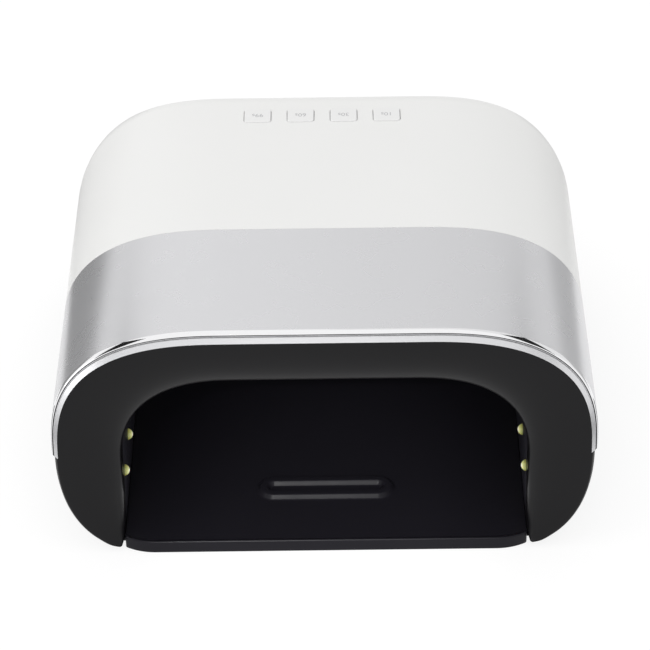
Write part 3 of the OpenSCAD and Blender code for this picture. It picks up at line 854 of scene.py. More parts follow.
@dataclass(frozen=True)
class Station:
    """A point of an outline in the XZ plane and its outward normal."""

    x: float
    z: float
    nx: float
    nz: float

    def inset(self, r: float) -> Point:
        """Return the point r millimetres in from the outline."""
        return self.x - r * self.nx, self.z - r * self.nz

    def mirrored(self) -> "Station":
        """Return the same station on the other side of the lamp."""
        return Station(-self.x, self.z, -self.nx, self.nz)


def full_corner(
    centre: Point, size: Point, power: float, share: float
) -> Station:
    """Return a station of a rounded corner that is fuller than an ellipse.

    Args:
        centre: The corner's centre.
        size: Its width and height.
        power: Its fullness: 2 is an ellipse, and more is squarer.
        share: The place along it, from 0 at the side to 1 at the top.

    Returns:
        The station.
    """
    across = max(0.0, math.cos(math.pi / 2 * share))
    up = math.sin(math.pi / 2 * share)
    nx, nz = across ** (2 - 2 / power) / size[0], up ** (2 - 2 / power) / size[1]
    length = math.hypot(nx, nz)
    x = centre[0] + size[0] * across ** (2 / power)
    z = centre[1] + size[1] * up ** (2 / power)
    return Station(x, z, nx / length, nz / length)


def blend(a: float, b: float, t: float) -> float:
    """Return the value a share t of the way from a to b."""
    return a + (b - a) * t


@dataclass(frozen=True)
class LampForm:
    """Main sizes of the lamp, in millimetres, shared by its sub-assemblies."""

    half_width: float = 112.5
    rear: float = 102.5
    height: float = 102.0
    wall: float = 2.2
    lean: float = math.radians(7.54)
    parting: float = 46.0
    shoulder: float = 46.3
    corner: Point = (40.0, 47.5)
    corner_size: Point = (72.5, 54.5)
    corner_power: float = 2.63
    rear_round: float = 15.0
    side_round: float = 30.5
    seam: float = 76.3
    seam_lean: float = math.radians(2.5)
    band_front: float = 5.0
    step: float = 1.5
    foot_x: float = 76.5
    foot_size: Point = (34.5, 45.7)
    foot_power: float = 2.2
    cavity_half: float = 84.2
    cavity_top: float = 76.9
    cavity_corner: Point = (47.7, 38.4)
    cavity_power: float = 2.4
    cavity_rear: float = 73.0
    lip_depth: float = 9.5
    liner_depth: float = 16.0
    shelf: float = 2.9
    key_places: tuple[float, ...] = (-28.95, -9.65, 9.65, 28.95)
    key_y: float = 76.6
    display_z: float = 68.0
    arch_steps: int = 56

    def front_y(self, z: float, depth: float) -> float:
        """Return the place along Y at a height and a depth behind the leaning front plane."""
        return -self.rear + math.tan(self.lean) * z + depth

    def on_seam(self, station: Station, depth: float) -> Vector:
        """Return the point of a station at a depth behind the band's less leaning rear edge.

        Args:
            station: The station.
            depth: How far behind the edge, in millimetres.

        Returns:
            The point.
        """
        top = self.front_y(self.height, self.seam)
        y = top + math.tan(self.seam_lean) * (station.z - self.height) + depth
        return Vector((station.x, y, station.z))

    def on_front(self, station: Station, r: float, depth: float) -> Vector:
        """Return the point r in from a station and at a depth behind the front plane."""
        x, z = station.inset(r)
        return Vector((x, self.front_y(z, depth), z))

    def at_y(self, station: Station, r: float, y: float) -> Vector:
        """Return the point r in from a station at a place along Y."""
        x, z = station.inset(r)
        return Vector((x, y, z))

    def arch_right(self, low: float) -> list[Station]:
        """Return the upper outline's right half, from a height up to the flat deck.

        Args:
            low: Height of its lowest station.

        Returns:
            Its stations, from the side to the deck.
        """
        quarter = [
            full_corner(self.corner, self.corner_size, self.corner_power, i / self.arch_steps)
            for i in range(self.arch_steps + 1)
        ]
        return [Station(self.half_width, low, 1.0, 0.0), *quarter]

    def arch(self, low: float) -> list[Station]:
        """Return the whole upper outline, from right to left."""
        right = self.arch_right(low)
        return right + [s.mirrored() for s in reversed(right)]

    @property
    def cavity_low(self) -> float:
        """Height at which the cavity's upper corners start."""
        return self.cavity_top - self.cavity_corner[1]

    def rear_radius(self, station: Station) -> float:
        """Return the rear edge's radius, which grows the more a station faces sideways."""
        return blend(self.rear_round, self.side_round, station.nx ** 2)

    def foot_share(self, x: float) -> float:
        """Return the share of the lower side's curve at which it reaches a place."""
        across = ((x - self.foot_x) / self.foot_size[0]) ** (self.foot_power / 2)
        return math.acos(across) / (math.pi / 2)

    def foot_station(self, share: float) -> Station:
        """Return the station of the lower side at a share of its curve below the parting line."""
        s = full_corner((self.foot_x, 0.0), self.foot_size, self.foot_power, share)
        return Station(s.x, self.parting - s.z, s.nx, -s.nz)

    def cavity_station(self, share: float) -> Station:
        """Return the station of the cavity's outline at a share of its upper corner."""
        centre = self.cavity_half - self.cavity_corner[0], self.cavity_low
        return full_corner(centre, self.cavity_corner, self.cavity_power, share)


FORM = LampForm()


# Sub-assemblies


@dataclass
class UpperShell:
    """White upper shell behind the silver band, with its key holes and window hole."""

    form: LampForm = FORM
    round_steps: int = 14
    key_size: Point = (12.3, 10.7)
    key_corner: float = 1.85
    key_cut: Point = (95.0, 12.0)
    window: Point = (34.0, 17.0)
    window_corner: float = 2.0
    window_cut: float = 12.0
    seam_gap: float = 0.08
    edge: float = 0.22

    def build(self) -> None:
        """Build the shell and seat it."""
        shell = as_object(self._skin(), "upper_shell")
        thicken(shell, self.form.wall)
        carve(shell, self._key_cutter())
        carve(shell, self._window_cutter())
        edge_break(shell, self.edge)
        smooth(shell)
        seated(shell, Body.LAMP.value, SHELL_WHITE, ["top_shell"])

    def _skin(self) -> bmesh.types.BMesh:
        """Make the outer face: the arch, its rounded rear edge and the rear wall.

        Returns:
            The skin.
        """
        form = self.form
        stations = form.arch(form.parting)
        turns = [math.pi / 2 * k / self.round_steps for k in range(self.round_steps + 1)]
        rows = [[form.on_seam(s, self.seam_gap) for s in stations]]
        for t in turns:
            rows.append([self._rounded_point(s, t) for s in stations])
        mesh = draped_grid(rows)
        filled(mesh, rows[-1])
        return faced_out(mesh, Vector((0, 20, 50)))

    def _rounded_point(self, station: Station, t: float) -> Vector:
        """Return the point of the rounded rear edge at a station and an angle.

        Args:
            station: The station.
            t: The angle round the edge, in radians.

        Returns:
            The point.
        """
        radius = self.form.rear_radius(station)
        y = self.form.rear - radius * (1 - math.sin(t))
        return self.form.at_y(station, radius * (1 - math.cos(t)), y)

    def _key_cutter(self) -> bmesh.types.BMesh:
        """Make the four cutters of the key holes.

        Returns:
            The cutters.
        """
        low, height = self.key_cut
        size = (*self.key_size, height)
        return joined(
            moved(rounded_prism(size, low, self.key_corner, 0.0), (x, self.form.key_y, 0))
            for x in self.form.key_places
        )

    def _window_cutter(self) -> bmesh.types.BMesh:
        """Make the cutter of the display's window.

        Returns:
            The cutter.
        """
        size = (*self.window, self.window_cut)
        plate = rounded_prism(size, -self.window_cut / 2, self.window_corner, 0.0)
        return moved(plate, (0, self.form.rear, self.form.display_z), TO_REAR)


@dataclass
class FrontBand:
    """Silver band over the arch, with the bright bead and the pale strip at its front."""

    form: LampForm = FORM
    bead_front: float = 2.65
    bead_top: float = 0.6
    bead_in: float = 0.75
    strip_out: float = 1.38
    strip_in: float = 3.0
    strip_back: float = 1.72
    groove: float = 2.8
    groove_in: float = 1.22
    band_edge: float = 0.16
    strip_edge: float = 0.12
    bead_steps: int = 10

    def build(self) -> None:
        """Build the band, the bead and the strip, and seat them."""
        form = self.form
        stations = form.arch(form.parting)
        front = [form.on_front(s, 0, form.band_front) for s in stations]
        rows = [front, [form.on_seam(s, 0) for s in stations]]
        band = as_object(faced_out(draped_grid(rows), Vector((0, -60, 50))), "silver_band")
        thicken(band, form.wall)
        edge_break(band, self.band_edge)
        smooth(band)
        seated(band, Body.LAMP.value, BAND_SILVER, ["front_band"])

        trims = form.arch(form.shoulder)
        bead = as_object(closed_tube([self._bead_section(s) for s in trims]), "bright_bead")
        smooth(bead, 50)
        seated(bead, Body.LAMP.value, BEAD_CHROME, ["chrome_trim"])

        strip = as_object(closed_tube([self._strip_section(s) for s in trims]), "pale_strip")
        edge_break(strip, self.strip_edge)
        smooth(strip)
        seated(strip, Body.LAMP.value, STRIP_SILVER, ["front_strip"])

    def _bead_section(self, s: Station) -> list[Vector]:
        """Return the bead's quarter-round section.

        Args:
            s: The station that it is at.

        Returns:
            The section's corners.
        """
        form = self.form
        run = form.band_front - self.bead_front
        turns = [math.pi / 2 * k / self.bead_steps for k in range(self.bead_steps + 1)]
        curve = [
            form.on_front(s, self.bead_top * (1 - math.cos(t)), form.band_front - run * math.sin(t))
            for t in turns
        ]
        back = [form.on_front(s, self.bead_in, d) for d in (self.bead_front, form.band_front)]
        return curve + back

    def _strip_section(self, s: Station) -> list[Vector]:
        """Return the strip's section, with the foot that reaches under the groove.

        Args:
            s: The station that it is at.

        Returns:
            The section's corners.
        """
        shelf = self.form.shelf
        corners = [
            (self.groove_in, shelf), (self.groove_in, self.groove), (self.strip_out, self.groove),
            (self.strip_out, self.strip_back), (self.strip_in, 0.0), (self.strip_in, shelf),
        ]
        return [self.form.on_front(s, r, d) for r, d in corners]


@dataclass(frozen=True)
class BezelStation:
    """A station of the bezel: outline, place on the lip, rounded edge, and if it is on the arch."""

    outline: Station
    lip: Point
    edge: float
    upper: bool

    def mirrored(self) -> "BezelStation":
        """Return the same station on the other side of the lamp."""
        lip = (-self.lip[0], self.lip[1])
        return BezelStation(self.outline.mirrored(), lip, self.edge, self.upper)


@dataclass
class MouthBezel:
    """Black bullnose bezel round the mouth, running down to two pointed feet."""

    form: LampForm = FORM
    groove: float = 0.75
    edge_upper: float = 3.0
    back: float = 2.5
    lower_back: float = 2.6
    foot_sink: float = 2.0
    full_width: float = 22.0
    tip: float = 86.8
    tip_lip: float = 2.9
    tip_edge: float = 0.7
    tip_growth: float = 6.0
    tip_skin: float = 1.5
    thick_width: float = 12.0
    slant: float = 2.3
    slant_from: float = 5.0
    fullness: float = 2.08
    tip_lift: float = 0.8
    tip_share: float = 0.12
    lower_rim: tuple[Point, ...] = ((0.3, 1.1), (0.65, 0.35))
    nose_steps: int = 20
    foot_steps: int = 44

    def build(self) -> None:
        """Build the bezel and seat it."""
        right = self._right()
        stations = right + [s.mirrored() for s in reversed(right)]
        bezel = as_object(closed_tube([self._section(s) for s in stations]), "mouth_bezel")
        smooth(bezel, 40)
        seated(bezel, Body.LAMP.value, BEZEL_BLACK, ["front_bezel"])

    def _right(self) -> list[BezelStation]:
        """Return the stations of the right half, from the foot up to the deck.

        Returns:
            The stations.
        """
        form = self.form
        tip_share = form.foot_share(self.tip)
        tip_z = form.foot_station(tip_share).z
        lower = []
        for i in range(self.foot_steps + 1):
            share = i / self.foot_steps
            outline = form.foot_station(tip_share * (1 - share))
            climb = (outline.z - tip_z) / (form.parting - tip_z)
            height = blend(self.tip_lip, form.cavity_low, climb)
            lift = self.tip_lift * max(0.0, 1 - share / self.tip_share) ** 2
            outline = Station(outline.x, outline.z + lift, outline.nx, outline.nz)
            x = form.cavity_half + self.slant * max(0.0, 1 - height / self.slant_from)
            edge = min(form.step, self.tip_edge * (1 + self.tip_growth * share))
            lower.append(BezelStation(outline, (x, height), edge, False))
        upper = []
        arch = form.arch_right(form.shoulder)
        lowest = form.cavity_low + form.shoulder - form.parting
        for i, outline in enumerate(arch):
            lip = form.cavity_station(i / (len(arch) - 1))
            place = (lip.x, max(lip.z, lowest))
            upper.append(BezelStation(outline, place, self.edge_upper, True))
        return lower + upper

    def _section(self, station: BezelStation) -> list[Vector]:
        """Return the bezel's closed section at a station.

        Args:
            station: The station.

        Returns:
            The section's corners, front face first.
        """
        form = self.form
        outline = station.outline
        edge_r = station.edge
        back_d = form.band_front if station.upper else self.lower_back
        edge = Vector(outline.inset(edge_r))
        lip = Vector(station.lip)
        width = (lip - edge).length
        skin = min(form.wall, width / 2) / width
        sink = blend(self.foot_sink, form.lip_depth, min(1.0, width / self.full_width))
        back = blend(self.tip_skin, self.back, min(1.0, width / self.thick_width))

        def nose(u: float) -> float:
            """Depth of the bullnose at a share u of its width."""
            return sink * (1 - max(0.0, 1 - u ** self.fullness) ** (1 / self.fullness))

        def place(u: float, depth: float) -> Vector:
            """Point at a share u of the way from the edge to the lip."""
            q = edge.lerp(lip, u)
            return Vector((q.x, form.front_y(q.y, depth), q.y))

        steps = self.nose_steps
        shares = [math.sin(math.pi / 2 * k / steps) for k in range(1, steps + 1)]
        if station.upper:
            rim = [(self.groove, back_d), (self.groove, form.shelf), (edge_r, form.shelf)]
        else:
            rim = [(share * edge_r, depth) for share, depth in self.lower_rim]
            rim.insert(0, (rim[0][0], back_d))
        front = [form.on_front(outline, r, d) for r, d in rim]
        front += [place(0, 0), *(place(u, nose(u)) for u in shares), place(1, form.liner_depth)]
        inner = [u * (1 - skin) for u in (0.05, 0.1, *shares)]
        behind = [place(0, back_d), *(place(u, back + nose(u)) for u in inner)]
        behind.append(place(1 - skin, form.liner_depth))
        return front + behind[::-1]


@dataclass
class HandCavity:
    """Black liner of the hand cavity, with its light holes and the hand sensor."""

    form: LampForm = FORM
    wall: float = 2.0
    foot: float = 5.2
    hole: float = 2.65
    front_gap: float = 0.05
    edge: float = 0.2
    sensor: Point = (0.0, 58.0)
    sensor_seat: float = 5.8
    sensor_hole: float = 2.6
    sensor_profile: tuple[Point, ...] = (
        (0, 0), (2.4, 0), (2.4, 4.4), (2.0, 5.0), (1.2, 5.4), (0, 5.5),
    )
    cut: Point = (-3, 5)
    corner_steps: int = 36

    def build(self, lights: "Lights") -> None:
        """Build the liner round the lights' holes, and seat it.

        Args:
            lights: Where the lights are.
        """
        liner = as_object(self._skin(), "cavity_shell")
        thicken(liner, self.wall)
        carve(liner, self._hole_cutter(lights))
        edge_break(liner, self.edge)
        smooth(liner)
        seated(liner, Body.LAMP.value, LINER_BLACK, ["cavity_liner"])
        sensor = turned(self.sensor_profile, 40)
        flip = Matrix.Rotation(math.pi, 4, "X")
        seat = (*self.sensor, self.form.cavity_top + self.sensor_seat)
        eye = as_object(moved(sensor, seat, flip), "sensor_eye")
        smooth(eye, 40)
        seated(eye, Body.LAMP.value, SENSOR_DARK, ["hand_sensor"])

    def _outline(self) -> list[Point]:
        """Return the cavity's outline, from the right foot over to the left.

        Returns:
            Places in the XZ plane.
        """
        steps = self.corner_steps
        corner = [self.form.cavity_station(k / steps) for k in range(steps + 1)]
        right = [(self.form.cavity_half, self.foot)] + [(s.x, s.z) for s in corner]
        return right + [(-x, z) for x, z in reversed(right)]

    def _skin(self) -> bmesh.types.BMesh:
        """Make the liner's inner face: walls, ceiling and rear wall.

        Returns:
            The skin, facing inwards.
        """
        form = self.form
        outline = self._outline()
        depth = form.liner_depth + self.front_gap
        rows = [
            [Vector((x, form.front_y(z, depth), z)) for x, z in outline],
            [Vector((x, form.cavity_rear, z)) for x, z in outline],
        ]
        mesh = draped_grid(rows)
        filled(mesh, rows[-1])
        return faced_out(mesh, Vector((0, 0, 40)), inwards=True)

    def _hole_cutter(self, lights: "Lights") -> bmesh.types.BMesh:
        """Make the cutters of the lights' holes and the sensor's hole.

        Args:
            lights: Where the lights are.

        Returns:
            The cutters.
        """
        seats = lights.every_seat(self.wall)
        cutters = [moved(round_pin(self.hole, self.cut, 28), place, turn) for place, turn in seats]
        eye = round_pin(self.sensor_hole, self.cut, 28)
        cutters.append(moved(eye, (*self.sensor, self.form.cavity_top)))
        return joined(cutters)


@dataclass
class Lights:
    """The lenses on the cavity's walls, ceiling and rear wall."""

    form: LampForm = FORM
    radius: float = 2.45
    proud: float = 2.0
    liner: float = 2.0
    side_rows: tuple[float, ...] = tuple(-78.0 + 24 * i for i in range(6))
    side_z: float = 25.0
    dome_steps: int = 8
    ceiling_x: tuple[float, ...] = (-42.0, -14.0, 14.0, 42.0)
    ceiling_y: tuple[float, ...] = tuple(-58.0 + 24 * i for i in range(5))
    rear_x: tuple[float, ...] = (-45.0, -15.0, 15.0, 45.0)
    rear_z: float = 45.0

    def seats(self, depth: float) -> dict[str, list[Seat]]:
        """Return where each light is seated, by CAD node.

        Args:
            depth: How far behind the liner's face a seat lies.

        Returns:
            Places and the turns that point a lens into the cavity.
        """
        side = self.form.cavity_half + depth
        top = self.form.cavity_top + depth
        back = self.form.cavity_rear + depth
        quarter = math.pi / 2
        z = self.side_z
        return {
            "leds_left": [
                (Vector((-side, y, z)), Matrix.Rotation(quarter, 4, "Y")) for y in self.side_rows
            ],
            "leds_right": [
                (Vector((side, y, z)), Matrix.Rotation(-quarter, 4, "Y")) for y in self.side_rows
            ],
            "leds_ceiling": [
                (Vector((x, y, top)), Matrix.Rotation(math.pi, 4, "X"))
                for x in self.ceiling_x for y in self.ceiling_y
            ],
            "leds_rear": [
                (Vector((x, back, self.rear_z)), Matrix.Rotation(quarter, 4, "X"))
                for x in self.rear_x
            ],
        }

    def every_seat(self, depth: float) -> list[Seat]:
        """Return all the seats in one list."""
        return [seat for seats in self.seats(depth).values() for seat in seats]

    def build(self) -> None:
        """Build each group of lenses and seat it."""
        for node, seats in self.seats(self.liner).items():
            lenses = joined(moved(self._lens(), place, turn) for place, turn in seats)
            piece = as_object(lenses, node.replace("leds", "lenses"))
            smooth(piece, 60)
            seated(piece, Body.LAMP.value, LENS_GREEN, [node])

    def _lens(self) -> bmesh.types.BMesh:
        """Make one lens along Z: a short stem and a dome, with its reach from the axis.

        Returns:
            The lens, standing on the origin.
        """
        stem = self.liner + self.proud - self.radius
        radius = self.radius
        turns = [math.pi / 2 * k / self.dome_steps for k in range(self.dome_steps + 1)]
        dome = [(radius * math.cos(t), stem + radius * math.sin(t)) for t in turns]
        mesh = turned([(0, 0), (radius, 0), *dome[:-1], (0, dome[-1][1])], 28)
        reach = mesh.verts.layers.float.new("reach")
        for vert in mesh.verts:
            vert[reach] = min(1.0, math.hypot(vert.co.x, vert.co.y) / (radius * MM))
        return mesh


@dataclass(frozen=True)
class HousingLevel:
    """A level of the housing: side point, rear point, corner radius and depth of its front edge."""

    side: Point
    rear: Point
    corner: float
    depth: float


@dataclass
class LowerHousing:
    """Black lower housing: down one side, across the back and up the other."""

    form: LampForm = FORM
    rear: float = 101.0
    heel_round: float = 14.0
    tip: float = 88.5
    floor_round: float = 13.0
    floor: float = 2.3
    ledge: Point = (84.3, 73.3)
    ledge_corner: float = 1.0
    edge: float = 0.25
    tongue: float = 0.9
    tongue_heights: Point = (4.0, 0.05)
    tongue_depth: float = 6.0
    rim: float = 2.7
    steps: int = 36
    heel_share: float = 0.25
    round_steps: int = 14
    vent_x: tuple[float, ...] = tuple(26.0 + 5 * i for i in range(5))
    vent_z: float = 33.0
    inlet_z: float = 27.1
    vent: tuple[float, float, float] = (2.0, 12.0, 12.0)
    vent_corner: float = 0.99
    inlet_hole: float = 4.25
    inlet_cut: Point = (-6, 6)
    column: Point = (70.0, 80.5)
    column_bore: float = 3.3
    column_cut: Point = (-2, 12)
    column_profile: tuple[Point, ...] = (
        (3.3, 2.4), (4.5, 2.4), (4.5, 52.0), (1.7, 52.0), (1.7, 46.0), (3.3, 46.0), (3.3, 2.4),
    )
    notch: tuple[float, float, float] = (4.2, 15.0, 4.5)
    notch_low: float = 1.5
    notch_corner: float = 0.3
    notch_place: Point = (85.3, -92.9)

    def build(self) -> None:
        """Build the housing and seat it."""
        housing = as_object(self._skin(), "lower_shell")
        thicken(housing, self.form.wall)
        carve(housing, self._cutter())
        edge_break(housing, self.edge)
        smooth(housing)
        seated(housing, Body.LAMP.value, HOUSING_BLACK, ["lower_housing"])
        columns = joined(
            moved(turned(self.column_profile), (side.value * self.column[0], self.column[1], 0))
            for side in Side
        )
        columns_piece = as_object(columns, "screw_columns")
        smooth(columns_piece)
        seated(columns_piece, Body.LAMP.value, HOUSING_BLACK)

    def _side(self, share: float) -> Point:
        """Return the side profile's distance from the middle and height."""
        station = self.form.foot_station(self.form.foot_share(self.tip) * share)
        return station.x, station.z

    def _heel(self, share: float) -> Point:
        """Return the rear profile's place along Y and height.

        Args:
            share: The share of the way from the parting line to the floor.

        Returns:
            The place along Y and the height.
        """
        top = self.floor + self.heel_round
        t = math.pi / 2 * max(0.0, share - self.heel_share) / (1 - self.heel_share)
        if share < self.heel_share:
            return self.rear, blend(self.form.parting, top, share / self.heel_share)
        return (
            self.rear - self.heel_round * (1 - math.cos(t)),
            top - self.heel_round * math.sin(t),
        )

    def _levels(self) -> list[HousingLevel]:
        """Return the levels: the tongue inside the upper shell, the outer face and the ledge.

        Returns:
            The levels, from the top down to the floor's ledge.
        """
        form = self.form
        corner = form.side_round - form.step
        half, back = form.half_width - form.step, self.rear
        levels = []
        for rise in self.tongue_heights:
            z = form.parting + rise
            side, rear = (half - self.tongue, z), (back - self.tongue, z)
            levels.append(HousingLevel(side, rear, corner - self.tongue, self.tongue_depth))
        for k in range(self.steps + 1):
            share = k / self.steps
            radius = blend(corner, self.floor_round, share)
            levels.append(HousingLevel(self._side(share), self._heel(share), radius, self.rim))
        side, rear = ((reach, self.floor) for reach in self.ledge)
        levels.append(HousingLevel(side, rear, self.ledge_corner, self.rim))
        return levels

    def _skin(self) -> bmesh.types.BMesh:
        """Make the housing's outer face.

        Returns:
            The skin.
        """
        turns = [math.pi / 2 * i / self.round_steps for i in range(self.round_steps + 1)]
        rows = []
        for level in self._levels():
            (side_x, side_z), (rear_y, rear_z) = level.side, level.rear
            right = [Vector((side_x, self.form.front_y(side_z, level.depth), side_z))]
            for t in turns:
                right.append(Vector((
                    side_x - level.corner * (1 - math.cos(t)),
                    rear_y - level.corner * (1 - math.sin(t)),
                    blend(side_z, rear_z, math.sin(t) ** 2),
                )))
            rows.append(right + [Vector((-p.x, p.y, p.z)) for p in reversed(right)])
        return faced_out(draped_grid(rows), Vector((0, 0, 60)))

    def _cutter(self) -> bmesh.types.BMesh:
        """Make the cutters of the vents, the inlet, the screw columns and the bezel's flanges.

        Returns:
            The cutters.
        """
        low = -self.vent[2] / 2
        cutters = []
        for side in Side:
            for x in self.vent_x:
                slot = rounded_prism(self.vent, low, self.vent_corner, 0.0)
                cutters.append(moved(slot, (side.value * x, self.rear, self.vent_z), TO_REAR))
        inlet = round_pin(self.inlet_hole, self.inlet_cut, 48)
        cutters.append(moved(inlet, (0, self.rear, self.inlet_z), TO_REAR))
        for side in Side:
            bore = round_pin(self.column_bore, self.column_cut, 32)
            cutters.append(moved(bore, (side.value * self.column[0], self.column[1], 0)))
            notch = rounded_prism(self.notch, self.notch_low, self.notch_corner, 0.0, 1)
            x, y = self.notch_place
            cutters.append(moved(notch, (side.value * x, y, 0)))
        return joined(cutters)


@dataclass
class FloorTray:
    """Removable floor tray with its raised front lip, finger rest and rubber pads."""

    form: LampForm = FORM
    half: float = 84.05
    low: float = 0.8
    top: float = 5.3
    lip_top: float = 6.0
    lip_low: float = 0.15
    lip_width: float = 2.8
    lip_foot: float = 0.25
    lip_edge: tuple[Point, ...] = (
        (0.0, -0.52), (0.03, -0.44), (0.08, -0.37), (0.28, -0.13), (0.35, -0.06), (0.45, -0.02),
        (0.6, 0.0),
    )
    lip_sink: float = 0.1
    roll_steps: int = 6
    back: float = 72.6
    plate_back: float = 1.0
    wide_arc: float = 24.0
    wide_steps: int = 10
    small_arc: float = 1.5
    small_steps: int = 6
    turn: float = math.radians(30.0)
    slab_edge: float = 0.2
    pad_edge: float = 0.25
    wing: tuple[float, float, float] = (177.0, 173.5, 1.4)
    wing_y: float = 1.75
    wing_corner: float = 12.0
    pocket: tuple[float, float, float] = (36.0, 44.0, 3.5)
    pocket_low: float = -0.2
    pocket_corner: float = 3.0
    pocket_y: float = -10.0
    rib: float = 3.0
    rest_half: float = 22.0
    rest_y: float = -68.2
    rest_outer: float = 7.9
    rest_inner: float = 3.52
    end_steps: int = 24
    outer_steps: tuple[Point, ...] = (
        (0.0, -0.1), (0.0, 0.0), (0.5, 0.12), (0.85, 0.36), (1.85, 1.56), (2.15, 1.82),
        (2.55, 1.95),
    )
    inner_steps: tuple[Point, ...] = (
        (0.0, 1.95), (0.3, 1.88), (0.55, 1.69), (1.12, 1.02), (1.7, 0.3), (2.0, 0.08),
        (2.4, 0.02),
    )
    toe: tuple[float, float, float] = (172.0, 13.0, 0.9)
    toe_corner: float = 1.0
    toe_y: float = -89.0

    def build(self) -> None:
        """Build the tray and dress its pads and keepers."""
        slabs = []
        for slab in (self._plate(), self._wing(), self._toe()):
            piece = as_object(slab, "slab")
            carve(piece, self._pocket_cutter())
            edge_break(piece, self.slab_edge, 1)
            slabs.append(as_mesh(piece))
        tray = as_object(joined([*slabs, self._lip(), self._finger_rest()]), "floor_tray")
        smooth(tray, 40)
        seated(tray, Body.BASE.value, TRAY_BLACK, ["base_tray"])
        pads = merged_copy("tray_pads", "rubber_pads")
        edge_break(pads, self.pad_edge)
        smooth(pads)
        seated(pads, Body.BASE.value, PAD_RUBBER, ["tray_pads"])
        dressed(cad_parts["tray_keepers"], PLATED_STEEL)

    def _front(self, back: float = 0.0) -> list[Point]:
        """Return the front edge from left to right: straight, with two arcs at each side.

        Args:
            back: How far it is moved back, in millimetres.

        Returns:
            Places in the XY plane.
        """
        front = -self.form.rear + back
        spare = self.wide_arc - self.small_arc
        wide_x = self.half - self.small_arc - spare * math.sin(self.turn)
        small_y = front + self.wide_arc - spare * math.cos(self.turn)
        right = []
        for k in range(self.wide_steps + 1):
            t = self.turn * k / self.wide_steps
            y = front + self.wide_arc * (1 - math.cos(t))
            right.append((wide_x + self.wide_arc * math.sin(t), y))
        for k in range(1, self.small_steps + 1):
            t = blend(self.turn, math.pi / 2, k / self.small_steps)
            x = self.half - self.small_arc * (1 - math.sin(t))
            right.append((x, small_y - self.small_arc * math.cos(t)))
        return [(-x, y) for x, y in reversed(right)] + right

    def _plate(self) -> bmesh.types.BMesh:
        """Make the tray's main plate, behind its lip.

        Returns:
            The plate.
        """
        outline = self._front(self.plate_back) + [(self.half, self.back), (-self.half, self.back)]
        mesh = bmesh.new()
        corners = [mesh.verts.new(Vector((x, y, self.low)) * MM) for x, y in outline]
        face = mesh.faces.new(corners)
        raised = bmesh.ops.extrude_face_region(mesh, geom=[face])["geom"]
        verts = [v for v in raised if isinstance(v, bmesh.types.BMVert)]
        bmesh.ops.translate(mesh, vec=(0, 0, (self.top - self.low) * MM), verts=verts)
        bmesh.ops.recalc_face_normals(mesh, faces=mesh.faces)
        return mesh

    def _wing(self) -> bmesh.types.BMesh:
        """Make the thin wing that the housing stands on."""
        wing = rounded_prism(self.wing, self.low, self.wing_corner, 0.0, 8)
        return moved(wing, (0, self.wing_y, 0))

    def _toe(self) -> bmesh.types.BMesh:
        """Make the thin toe that shows beside each of the bezel's feet."""
        toe = rounded_prism(self.toe, self.low, self.toe_corner, 0.0, 3)
        return moved(toe, (0, self.toe_y, 0))

    def _pocket_cutter(self) -> bmesh.types.BMesh:
        """Make the cutters of the twelve pockets between the ribs under the tray.

        Returns:
            The cutters.
        """
        step = self.pocket[0] + self.rib, self.pocket[1] + self.rib
        return joined(
            moved(
                rounded_prism(self.pocket, self.pocket_low, self.pocket_corner, 0.0, 4),
                (i * step[0], j * step[1] + self.pocket_y, 0),
            )
            for i in (-1.5, -0.5, 0.5, 1.5) for j in (-1, 0, 1)
        )

    def _lip(self) -> bmesh.types.BMesh:
        """Make the raised front lip: an upright face with a soft top that rolls back to the floor.

        Returns:
            The lip.
        """
        top, low, foot, steps = self.lip_top, self.lip_low, self.lip_foot, self.roll_steps
        profile = [(0.0, low + foot), *((back, top + z) for back, z in self.lip_edge)]
        crest = self.lip_edge[-1][0]
        drop = self.lip_top - self.top + self.lip_sink
        roll = self.lip_width - crest
        for k in range(1, steps + 1):
            fall = (1 - math.cos(math.pi * k / steps)) / 2
            profile.append((crest + roll * k / steps, top - drop * fall))
        profile += [(self.lip_width, low + foot), (self.lip_width - foot, low), (foot, low)]
        path = self._front()
        return closed_tube([[Vector((x, y + back, z)) for back, z in profile] for x, y in path])

    def _finger_rest(self) -> bmesh.types.BMesh:
        """Make the finger rest: a long raised rim with round ends round a shallow hollow.

        Returns:
            The finger rest.
        """
        rings = [(self.rest_outer - r, z) for r, z in self.outer_steps]
        rings += [(self.rest_inner - r, z) for r, z in self.inner_steps]
        return closed_tube([self._long_ring(r, self.top + z) for r, z in rings])

    def _long_ring(self, radius: float, z: float) -> list[Vector]:
        """Return a ring with straight sides and round ends, as the finger rest's rim has.

        Args:
            radius: Radius of its ends.
            z: Its height.

        Returns:
            The ring's places.
        """
        ring = []
        for side in (Side.RIGHT, Side.LEFT):
            for k in range(self.end_steps + 1):
                t = math.pi * (k / self.end_steps - 0.5)
                x = side.value * (self.rest_half + radius * math.cos(t))
                ring.append(Vector((x, self.rest_y + side.value * radius * math.sin(t), z)))
        return ring


